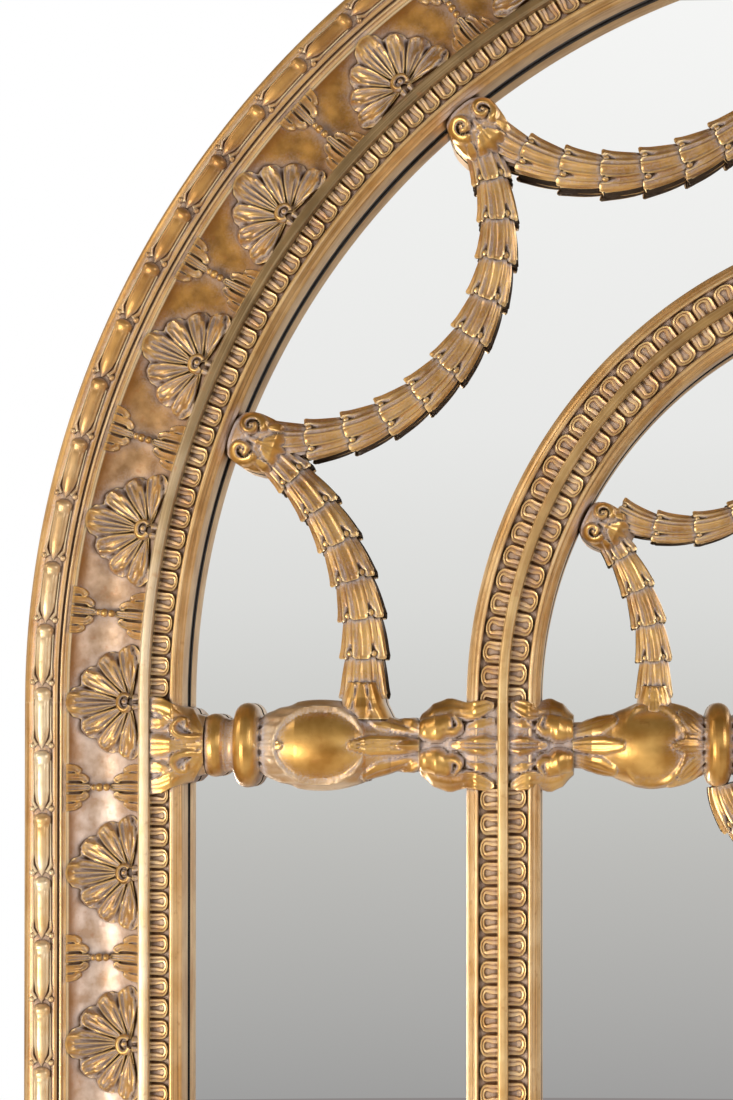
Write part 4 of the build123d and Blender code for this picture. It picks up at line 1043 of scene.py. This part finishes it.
def husk(length, sizes):
    """One husk, from its neck at x = 0 to its tip."""
    pitch, tip_r, neck_r = sizes
    k = tip_r / 15.6
    phi = np.radians(np.concatenate([[-180, -150], np.linspace(-116, 116, 65), [150]]))
    q = ((np.degrees(phi) + 35) / 70) % 1 * 2 - 1
    ridges = 2.5 * bump(q, -0.16, 0.15) + 2.3 * bump(np.abs(q), 0.68, 0.13)
    rows = []
    for t in (0.0, 0.10, 0.25, 0.42, 0.56, 0.66, 0.74, 0.82, 0.90, 0.96, 1.0):
        notch = 0.40 * np.clip((t - 0.60) / 0.40, 0, 1) ** 1.2
        inside = np.clip((np.abs(q) - (1 - notch)) / 0.10, 0, 1) if notch > 0 else 0 * q
        body = neck_r + (tip_r - neck_r) * t ** 0.7 + k * (ridges - 2.1) * (0.35 + 0.65 * t)
        body = body + 0.8 * k * np.clip((t - 0.7) / 0.3, 0, 1) ** 2
        body = body - (k if t == 1.0 else 0)
        body = body * (1 - inside) + (neck_r - 0.4 * k) * inside
        x = t * (length + k * (1.6 - 2.6 * inside - 0.8 * np.abs(q) ** 3) * t ** 3)
        rows.append((x, body))
    rows.append((rows[-1][0] - 1.5 * k, np.full(len(phi), neck_r - 2.0 * k)))
    points = []
    for x, r in rows:
        z = np.maximum(SWAG_AXIS + r * np.cos(phi), SWAG_SEAT)
        points.append(np.stack([x, r * np.sin(phi), z], 1))
    bead_r = neck_r + 1.9 * k
    beads = [ball((length - 2.0 * k, bead_r * sin(radians(a)),
                   SWAG_AXIS + bead_r * cos(radians(a))), 2.3 * k) for a in (-35, 35)]
    return joined([loft(points)] + beads)


def arc_path(cx, cz, r, start_deg, sweep_deg):
    sign = 1 if sweep_deg > 0 else -1

    def at(s):
        a = radians(start_deg) + sign * s / r
        return cx + r * cos(a), cz + r * sin(a), (-sign * sin(a), sign * cos(a))
    return at, abs(radians(sweep_deg)) * r


def oval_path(half_w, drop, low_z, start_deg):
    """A quarter of an oval, from start_deg below its level line to its lowest point."""
    t = np.radians(np.linspace(start_deg, 90, 200))
    x, z = -half_w * np.cos(t), low_z + drop * (1 - np.sin(t))
    lengths = np.concatenate([[0], np.cumsum(np.hypot(np.diff(x), np.diff(z)))])

    def at(s):
        a = np.interp(s, lengths, t)
        dx, dz = half_w * sin(a), -drop * cos(a)
        n = np.hypot(dx, dz)
        return -half_w * cos(a), low_z + drop * (1 - sin(a)), (dx / n, dz / n)
    return at, lengths[-1]


def chain(path, length, sizes, slim=(0.86, 0.90, 0.86)):
    """Husks bent along a path, narrower where slim says so, from its start to its end."""
    count = max(1, round(length / sizes[0]))
    step = length / count
    points, faces = husk(step, sizes)
    parts = []
    for i in range(count):
        bent = []
        for p in points:
            x, z, (dx, dz) = path(i * step + p[0])
            side = p[1] * np.interp((i * step + p[0]) / length, [0.0, 0.5, 1.0], slim)
            bent.append((x - side * dz, PLATE - p[2], z + side * dx))
        parts.append((bent, faces))
    return joined(parts)


def swag_circle(end_r, span_deg, half_deg):
    r = end_r * sin(radians(span_deg)) / sin(radians(half_deg))
    return r, end_r * cos(radians(span_deg)) + r * cos(radians(half_deg)) - r


def swag_between(low, high, end_r, short_deg, half_deg, sizes):
    mid = (low + high) / 2
    r, mid_r = swag_circle(end_r, (high - low) / 2 - short_deg, half_deg)
    cx, cz = -(mid_r + r) * cos(radians(mid)), SPRING_Z + (mid_r + r) * sin(radians(mid))
    path, length = arc_path(cx, cz, r, -mid + half_deg, -2 * half_deg)
    return chain(path, length, sizes)


def middle_swag(low, end_r, short_deg, half_deg, sizes):
    r, mid_r = swag_circle(end_r, 90 - low - short_deg, half_deg)
    path, length = arc_path(0, SPRING_Z + mid_r + r, r, -90 - half_deg, half_deg)
    return both_runs(path, length, SPRING_Z + mid_r, sizes)


def both_runs(path, length, low_z, sizes):
    """Two runs that meet at the middle in a clasp. Their husks point to it."""
    points, faces = chain(path, length - sizes[2] * 0.4, sizes)
    clasp = ball((0, 0, 0), sizes[1] * 0.95, 20, 10)
    clasp_points = clasp[0] * [0.75, 1, 1] + [0, PLATE - SWAG_AXIS, low_z]
    clasp_points[:, 1] = np.minimum(clasp_points[:, 1], PLATE - SWAG_SEAT)
    return joined([(points, faces), (mirrored(points), faces), (clasp_points, clasp[1])])


def drop_from(bracket_deg, end_r, short_deg, x, turn_deg, sizes):
    start = radians(bracket_deg - short_deg)
    r = (end_r * cos(start) - x) / (1 - cos(radians(turn_deg)))
    turn_z = end_r * sin(start) - r * sin(radians(turn_deg))
    arc_len = radians(turn_deg) * r
    arc, _ = arc_path(-x - r, SPRING_Z + turn_z, r, turn_deg, -turn_deg)

    def path(s):
        if s <= arc_len:
            return arc(s)
        return -x, SPRING_Z + turn_z - (s - arc_len), (0, -1)
    return chain(path, arc_len + turn_z - DROP_FOOT, sizes, slim=(0.88, 0.96, 1.0))


BRACKET_DEGS, INNER_DEGS = (20.4, 50.2, 80.3), (26.5, 68.8)
RING_IN = RING_R - RING_HALF
swag_hang = (SIGHT_R - 22.7, 0.56, 60.0, OUTER_HUSK)
inner_hang = (RING_IN - 18.2, 2.92, 72.0, INNER_HUSK)
DROP_X, INNER_DROP_X, DROP_FOOT = SIGHT_R - 117.0, RING_IN - 74.1, 4.0
FESTOON_LOW = RAIL_Z - 105.0
festoon_path, festoon_len = oval_path(154.0, 91.8, FESTOON_LOW, 8.0)
CHAINS = [("swag_lower", swag_between(*BRACKET_DEGS[0:2], *swag_hang), True),
          ("swag_upper", swag_between(*BRACKET_DEGS[1:3], *swag_hang), True),
          ("swag_crown", middle_swag(BRACKET_DEGS[2], SIGHT_R - 29.5, 0.65, 54.0, OUTER_HUSK),
           False),
          ("inner_swag", swag_between(*INNER_DEGS, *inner_hang), True),
          ("inner_swag_crown", middle_swag(INNER_DEGS[1], *inner_hang), False),
          ("festoon", both_runs(festoon_path, festoon_len, FESTOON_LOW, OUTER_HUSK), False),
          ("husk_drop", drop_from(BRACKET_DEGS[0], SIGHT_R - 23.4, 0.36, DROP_X, 52.0, OUTER_HUSK),
           True),
          ("inner_husk_drop",
           drop_from(INNER_DEGS[0], RING_IN - 12.6, 0.13, INNER_DROP_X, 40.0, INNER_HUSK), True)]
for name, (points, faces), two in CHAINS:
    if two:
        side_pieces(name, points, faces, name + ("s" if "drop" in name else "_left"), sharp=42)
    else:
        piece(name, make_mesh(name, points, faces, leaf_gilding, sharp=42), [name])
    print(name, len(faces), "faces")

# %% [markdown]
# ## The rail
# The rail is turned work with carved ends: a leaf cup on the frame, two rings, a vase in
# a leaf sheath, a calyx and a pair of scroll leaves on the inner arch. Inside the arch
# two sheathed vases face a torus. Each piece is a turned ground that strokes are laid on.
# Where a leaf lies over the frame's strip the ground is flat instead, because a round
# one would sink into the moulding.

# %% Rail pieces
RAIL_AXIS, RAIL_BACK = 16.0, 1.2
RAIL_STEP, EDGE_FALL = 0.85, 2.5


def rail_part(length, wide, high, flat, strokes, layer=None, start=0.0, trim=None):
    """A half-round ground with strokes. wide, high and flat are tables along the length."""
    a = np.linspace(start, start + length, int(length / RAIL_STEP))[:, None]
    if trim is not None:
        a = np.unique(np.concatenate([a[:, 0], trim]))[:, None]
    phi = np.linspace(-pi / 2, pi / 2, 71)[None, :]
    w = np.interp(a, *zip(*wide))
    top = np.interp(a, *zip(*high))
    b = np.interp(a, *zip(*flat)) if flat else 0 * a
    y = w * np.sin(phi)
    edge = RAIL_AXIS + b * (top - EDGE_FALL - RAIL_AXIS)
    z = edge + (top - edge) * np.cos(phi) ** (1 - 0.35 * b)
    c = carved(a, y, strokes)
    if layer is not None:
        c = np.maximum(c, layer(a, y))
    y_out = y + c * np.sin(phi) * (1 - b)
    z_out = z + c * (b + (1 - b) * np.cos(phi))
    return relief(a, y_out, z_out, RAIL_BACK)


def turned_part(start, length, outline, strokes, layer):
    """A turned piece, with a row of points at each corner of its outline."""
    high = [(a, RAIL_AXIS + r) for a, r in outline]
    return rail_part(length, outline, high, None, strokes, layer, start=start,
                     trim=[a for a, _ in outline])


def profile(steps):
    """A turned outline sampled finely, as a table."""
    return [tuple(p) for p in rounded(steps, cut=0.3)]


CUP_LEN, SCROLL_LEN, SPINDLE_LEN = 33.0, 51.35, 141.6
cup_strokes = [
    leaf([(33, 0), (18, 0), (1, 0)], [3.0, 4.5, 5.5, 7.5, 8.5], [2.0, 3.0, 3.2, 2.6], ribs=4,
         dish=0.2),
    leaf([(1, 27), (10, 25.5), (19, 20.5), (28, 12), (34, 5)], [5.5, 6.8, 6.5, 5.0, 3.2],
         [2.6, 4.2, 4.8, 4.4, 3.0], dish=0.4, ribs=2),
    leaf([(1, 14), (8, 14.5), (14, 17)], [4.5, 4.0, 2.5], [2.6, 3.2, 2.0], dish=0.35),
    leaf([(32, 5), (25, 4.6), (18.5, 6.5), (15.5, 11), (18.5, 15.5), (23.5, 14.5), (24, 11)],
         [2.2, 2.5, 2.6, 2.6, 2.3, 2.0, 1.8], [3.0, 4.5, 5.4, 5.6, 5.6, 5.4, 5.6]),
]
cup_part = rail_part(CUP_LEN + 1.0, [(0, 32), (8, 31), (16, 26.5), (24, 21.5), (34, 19)],
                     [(0, 41), (14, 42.5), (24, 40), (34, 34.6)],
                     [(0, 1), (15, 1), (25, 0), (34, 0)], cup_strokes)

CALYX_END = SCROLL_LEN + 38.6
VASE_END = CALYX_END + 65.4
scroll_strokes = [
    leaf([(48, 11), (43, 17), (33, 19.5), (22, 21), (13, 23.5), (6, 26)],
         [5.5, 7.8, 7.4, 6.2, 5.8, 6.0, 4.4], [5.0, 8.0, 8.4, 6.6, 5.6, 4.4], dish=0.4, ribs=2,
         square=3.0),
    leaf([(47, 9), (40, 9), (34, 11.5)], [6.4, 8.0, 6.2], [7.5, 11.0, 9.4], square=2.0),
    leaf([(34, 7.4), (28, 7.8), (24.5, 11.4), (28, 15.2)], [2.9, 3.0, 2.8, 2.1],
         [8.5, 7.8, 7.4, 7.4], square=2.0),
    leaf([(29, 0), (15, 0), (2, 0)], [2.6, 4.6, 6.0, 7.2, 5.4], [3.4, 5.6, 5.8, 3.6], ribs=4,
         dish=0.3, square=3.2),
    leaf([(20, 12), (12, 14), (4, 15.5)], [1.8, 3.6, 3.0], [2.4, 3.4, 2.2], ribs=2, dish=0.3),
]
calyx_strokes = [
    leaf([(50, 0), (72, 0), (94, 0)], [3.5, 5.6, 6.0, 6.4, 3.2], [2.8, 4.0, 4.4, 3.4], ribs=4,
         dish=0.25, square=3.2),
    leaf([(50, 0), (64, 0)], [3.4, 3.4, 2.0], [5.6, 6.4, 4.6], ribs=2),
    leaf([(50, 9), (60, 11.5), (73, 15), (86, 19.5)], [3.2, 4.4, 5.2, 6.2, 3.6],
         [2.8, 3.8, 4.6, 3.6], ribs=4, dish=0.25, square=3.2),
    leaf([(50, 9.5), (62, 13.5)], [3.0, 3.4, 2.0], [5.2, 6.0, 4.0], ribs=2),
    leaf([(155, 0), (142.0, 0)], [3.0, 4.6, 4.6, 2.6], [2.4, 3.6, 3.0], ribs=3, dish=0.2),
    leaf([(155, 8), (150, 10.5), (146.5, 15)], [2.0, 2.8, 1.6], [2.4, 3.2, 2.2], dish=0.3),
    leaf([(155, 14), (150, 18.5), (142, 22.5)], [2.0, 2.4, 1.4], [2.2, 3.0, 2.0], dish=0.3),
]


def open_sheath(a, y, middle, halves, start, end, soft, rim_at, heights):
    """A leaf sheath round a vase, open at the front on an oval with a raised rim."""
    e = np.sqrt(((a - middle) / halves[0]) ** 2 + (y / halves[1]) ** 2)
    inside = np.clip((a - start) / 6, 0, 1) * np.clip((end[0] - a) / end[1], 0, 1)
    on = np.clip((e - 1.0) / soft, 0, 1) * inside
    body, rim, ripple = heights
    return on * (body + rim * bump(e, rim_at, soft) + ripple * np.cos(y * 1.15))


def sheath(a, y):
    return open_sheath(a, y, 115.8, (28.0, 21.6), 86, (155, 3), 0.05, 1.08, (2.0, 1.3, 0.45))


spindle_profile = profile([
    (SCROLL_LEN, 14.0), (CALYX_END - 20, 14.6), (CALYX_END - 4, 20.5),
    (CALYX_END, 23.0, CALYX_END + 8, 25.6), (CALYX_END + 24, 27.4, CALYX_END + 42, 26.2),
    (CALYX_END + 58, 20.5), (VASE_END, 17.6), (VASE_END + 1.6, 21.0),
    (VASE_END + 9.4, 27.8, VASE_END + 17.3, 21.0), (VASE_END + 17.8, 17.8),
    (VASE_END + 20.6, 16.9, VASE_END + 23.4, 17.8), (VASE_END + 24.2, 17.8),
    (VASE_END + 30.8, 20.8, VASE_END + 37.4, 17.4)])
spindle_part = turned_part(SCROLL_LEN, SPINDLE_LEN, spindle_profile, calyx_strokes, sheath)
scroll_ground = [(0, 27), (8, 29.5), (16, 29), (24, 26), (34, 24.5), (43, 22), (48, 18), (52, 15.0)]
scroll_part = rail_part(SCROLL_LEN, scroll_ground,
                        [(0, 36.5), (14, 36.5), (24, 33), (34, 31), (52, 31.0)],
                        [(0, 1), (16, 1), (24, 0.3), (30, 0), (52, 0)], scroll_strokes)

INNER_SCROLL, INNER_CALYX, INNER_VASE = 41.9, 28.0, 56.9
shorter = INNER_SCROLL / SCROLL_LEN
inner_scroll_strokes = remapped(scroll_strokes, shorter)
inner_scroll_part = rail_part(INNER_SCROLL, [(a * shorter, w) for a, w in scroll_ground],
                              [(0, 36.5), (12, 36.5), (20, 33), (28, 31), (42, 31.0)],
                              [(0, 1), (14, 1), (20, 0.3), (25, 0), (42, 0)], inner_scroll_strokes)
TORUS = 15.7
b0 = INNER_SCROLL
b1 = b0 + INNER_CALYX
b2 = b1 + INNER_VASE
b3 = b2 + TORUS + 2 * 1.6
b4 = b3 + INNER_VASE
b5 = RING_R - FILLET_HALF
inner_profile = profile([
    (b0, 15.0), (b0 + 12, 15.6), (b1 - 3, 20.5), (b1, 22.0, b1 + 7, 24.6),
    (b1 + 22, 26.4, b1 + 38, 25.0), (b1 + 50, 20.0), (b2, 17.4), (b2 + 1.6, 21.0),
    (b2 + 9.4, 27.8, b2 + 17.3, 21.0), (b3, 17.4), (b3 + 7, 20.0), (b3 + 19, 25.0),
    (b3 + 35, 26.4, b3 + 50, 24.4), (b4, 22.0), (b4 + 4, 19.5), (b4 + 18, 15.8), (b5, 15.0)])
inner_strokes = [
    leaf([(b0, 0), (b0 + 14, 0), (b0 + 31, 0)], [3.5, 5.6, 6.2, 3.2], [2.4, 3.2, 3.0, 2.0], ribs=4,
         dish=0.15),
    leaf([(b0, 8), (b0 + 12, 11.5), (b0 + 25, 16)], [3.5, 5.0, 6.2, 3.8], [2.2, 3.2, 2.4], ribs=4,
         dish=0.15),
    leaf([(b2 - 1, 0), (b2 - 19, 0)], [3.4, 5.0, 5.2, 2.4], [3.0, 4.4, 3.8], ribs=3, dish=0.2),
    leaf([(b2 - 1, 8), (b2 - 7, 12), (b2 - 15, 19)], [3.0, 4.6, 4.4, 2.4], [3.0, 4.6, 4.0], ribs=3,
         dish=0.25),
    leaf([(b2 - 1, 15), (b2 - 8, 20.5), (b2 - 22, 25)], [2.4, 3.4, 3.2, 1.8], [2.8, 4.0, 3.2],
         ribs=2, dish=0.25),
]
inner_strokes += remapped(inner_strokes[2:], -1, b2 + b3)
inner_strokes += remapped(inner_strokes[:2], -1, b4 + b1 + 1.0)


def inner_sheath(a, y):
    """The same on both inner vases, which face the torus between them."""
    a = np.minimum(a, b2 + b3 - a)
    return open_sheath(a, y, 92.5, (20.5, 22.6), 76, (b2, 2), 0.06, 1.10, (1.7, 1.2, 0.4))


inner_spindle_part = turned_part(b0, b5 - b0, inner_profile, inner_strokes, inner_sheath)

CUP_SEAT = (-HALF_W + STRIP_IN, RAIL_Z, (1, 0))
SPINDLE_SEAT = (-RING_R - FILLET_HALF, RAIL_Z, (-1, 0))
INNER_SEAT = (-RING_R + FILLET_HALF, RAIL_Z, (1, 0))
RAIL = [("leaf_cup", cup_part, CUP_SEAT, "rail_frame_cups"),
        ("rail_spindle", spindle_part, SPINDLE_SEAT, "rail_spindle_left"),
        ("scroll_leaf", scroll_part, SPINDLE_SEAT, "rail_scroll_leaves"),
        ("inner_scroll_leaf", inner_scroll_part, INNER_SEAT, "rail_scroll_leaves"),
        ("inner_spindle", inner_spindle_part, INNER_SEAT, "rail_spindle_centre_left")]
SHEATH_H = 0.8
for name, (points, faces), place, node in RAIL:
    made = side_pieces(name, stand(points, *place), faces, node)
    for each in made if name == "rail_spindle" else []:
        each.data.materials.append(sheath_gilding)
        for face in each.data.polygons:
            a = abs(face.center.x) / MM - RING_R - FILLET_HALF
            if sheath(np.array(a), np.array(face.center.z / MM - RAIL_Z)) > SHEATH_H:
                face.material_index = 1
    print(name, len(faces), "faces")

# %% [markdown]
# A rosette hides the joint of the two spindles on the centre line. It has two rings of
# petals and a boss.

# %% Rosette
ROSETTE_R, PETALS = 36.0, 10
angle = np.linspace(0, 2 * pi, PETALS * 12 + 1)[None, :]
t = np.linspace(0.06, 1, 26)[:, None]
q = np.abs((angle * PETALS / (2 * pi)) % 1 * 2 - 1)
q_in = np.abs((angle * PETALS / (2 * pi) + 0.5) % 1 * 2 - 1)
reach = ROSETTE_R * (1 - 0.10 * q ** 3)


def petals(low, high, start, end, power, q):
    """A ring of petals that rise from low between two shares of the radius."""
    hump = np.sin(pi * np.clip((t - start) / (end - start), 0, 1)) ** power
    return low + high * hump * np.sqrt(np.clip(1 - 0.9 * q ** 4, 0, 1))


veins = 1.2 * bump(q, 0, 0.16) * (t > 0.35)
outer_leaf = petals(33.0, 8.0, 0.30, 1.04, 0.7, q) - veins
inner_leaf = petals(35.5, 7.5, 0.0, 0.62, 0.8, q_in)
z = np.where(t < 0.56, np.maximum(outer_leaf, inner_leaf), outer_leaf)
x, y = reach * t * np.cos(angle), reach * t * np.sin(angle)
rosette = joined([relief(x, y, z, RAIL_BACK), ball((0, 0, 42.0), 10.5, 24, 10, 0.62)]
                 + [ball((8.6 * cos(a), 8.6 * sin(a), 44.5), 1.6)
                    for a in np.linspace(0, 2 * pi, 13)[:-1]])
points = stand(rosette[0], 0.0, RAIL_Z, (1, 0))
piece("rosette", make_mesh("rosette", points, rosette[1], leaf_gilding, sharp=50),
      ["rail_rosette"])

# %% [markdown]
# ## Brackets and feet
# The chains hang from brackets on the lip: two volutes side by side, and a spray of
# leaves that reaches to the first husks. Where a drop meets the rail it ends in a leafy
# foot.

# %% Brackets and feet
def bracket(k):
    """A bracket in the frame of its place: x runs inwards from the lip."""
    x = np.linspace(-3.0, 40, 62)[:, None]
    v = np.sin(np.linspace(-pi / 2, pi / 2, 51))[None, :]
    w = np.interp(x, [-3.0, 1, 6, 12, 20, 30, 37, 40],
                  [12.0, 15.5, 17.5, 18.5, 18.0, 15.5, 11.5, 9.0])
    y = w * v
    z = np.interp(x, [-3.0, 0, 6, 16, 26, 34, 40],
                  [33.0, 36.0, 36.5, 36.0, 31.0, 22.0, 12.0]) - 7.0 * np.abs(v) ** 3
    turns = np.linspace(0, 2.1 * pi, 22)
    spiral = []
    for t in turns:
        r = 7.6 - 5.0 * t / turns[-1]
        spiral.append((8.6 + r * cos(0.2 + t), 8.9 + r * sin(0.2 + t)))
    strokes = [
        leaf(spiral, [3.4, 3.0, 2.0], [4.4, 5.6, 6.2]),
        leaf([(8.6, 8.9), (8.8, 9.1)], [2.0], [5.6], square=2.0),
        leaf([(20, 0), (27, 0), (33, 0)], [2.4, 3.8, 3.6, 1.6], [2.6, 3.8, 3.2], ribs=2, dish=0.2),
        leaf([(21, 3), (28, 7), (34, 11)], [2.4, 3.8, 3.4, 1.6], [2.6, 3.6, 2.4], ribs=2,
             dish=0.25),
        leaf([(21, 12), (26, 14), (30, 15)], [2.6, 3.4, 1.8], [2.6, 3.2, 1.8], dish=0.3),
        leaf([(11.0, 0), (15, 0), (20, 0)], [1.5, 2.6, 1.2], [1.5, 3.2, 1.8]),
    ]
    z = z + carved(x, y, strokes)
    return relief(x * k + LIP_GAP, y * k, z * (0.7 + 0.3 * k), 0.8)


LIP_GAP = 3.2


def drop_foot(k, top, low_h):
    """A leafy foot: x runs down from the last husk to the rail."""
    x = np.linspace(0, 24, 30)[:, None]
    v = np.sin(np.linspace(-pi / 2, pi / 2, 41))[None, :]
    w = np.interp(x, [0, 6, 14, 20, 24], [12.0, 12.8, 14.5, 17.5, 19.5]) * k
    y = w * v
    ridge = np.interp(x, [0, 10, 18, 24], [top, top + 1.0, (top + low_h) / 2 + 1.0, low_h])
    z = SWAG_AXIS + (ridge - SWAG_AXIS) * np.sqrt(np.clip(1 - np.abs(v) ** 2.4, 0, 1))
    strokes = [
        leaf([(2, 0), (12, 0), (23, 0)], [2.4, 4.4, 5.6, 4.0], [1.6, 2.2, 2.6, 1.4], ribs=3),
        leaf([(2, 6 * k), (10, 9 * k), (22, 14 * k)], [2.4, 4.2, 5.2, 3.4], [1.6, 2.2, 2.4, 1.2],
             ribs=3),
    ]
    z = z + carved(x, y, strokes)
    return relief(x, y, z, SWAG_SEAT)


BRACKETS = [("swag_brackets", SIGHT_R, BRACKET_DEGS, 1.0),
            ("inner_swag_brackets", RING_IN, INNER_DEGS, 0.78)]
for name, edge_r, degs, k in BRACKETS:
    places = []
    for deg in degs:
        x, z, (dx, dz) = arch_place(edge_r, deg)
        places.append((x, z, (dz, -dx)))
    side_pieces(name, *laid(bracket(k), places), name)
FEET = [("drop_foot", DROP_X, 1.0, 28.6, 34.0, 41.0),
        ("inner_drop_foot", INNER_DROP_X, 0.82, 25.6, 30.0, 38.5)]
for name, x, k, top, low_h, rise in FEET:
    points, faces = drop_foot(k, top, low_h)
    side_pieces(name, stand(points, -x, RAIL_Z + rise, (0, -1)), faces)
print("brackets and feet done")

# %% [markdown]
# ## Nodes that stay
# The back's timber, boards and hardware have the right shape already. They only get
# their finishes.

# %% Finishes on the construction model
STAY = {"carcass_arch_left": pine_along, "carcass_arch_right": pine_along,
        "carcass_stile_left": pine_up,
        "carcass_stile_right": pine_up, "carcass_bottom_rail": pine_along, "wood_dowels": beech,
        "backing_board": hardboard, "board_clips": zinc, "joint_plates": zinc, "wood_screws": zinc,
        "hanger_straps": zinc, "hanger_ring_left": zinc, "hanger_ring_right": zinc,
        "wall_bumpers": rubber,
        "setting_blocks": rubber, "felt_pads": felt}
for name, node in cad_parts.items():
    finish = STAY.get(name, leaf_gilding)
    node.data.materials.clear()
    node.data.materials.append(finish)
print("finished", len(STAY), "plain nodes")
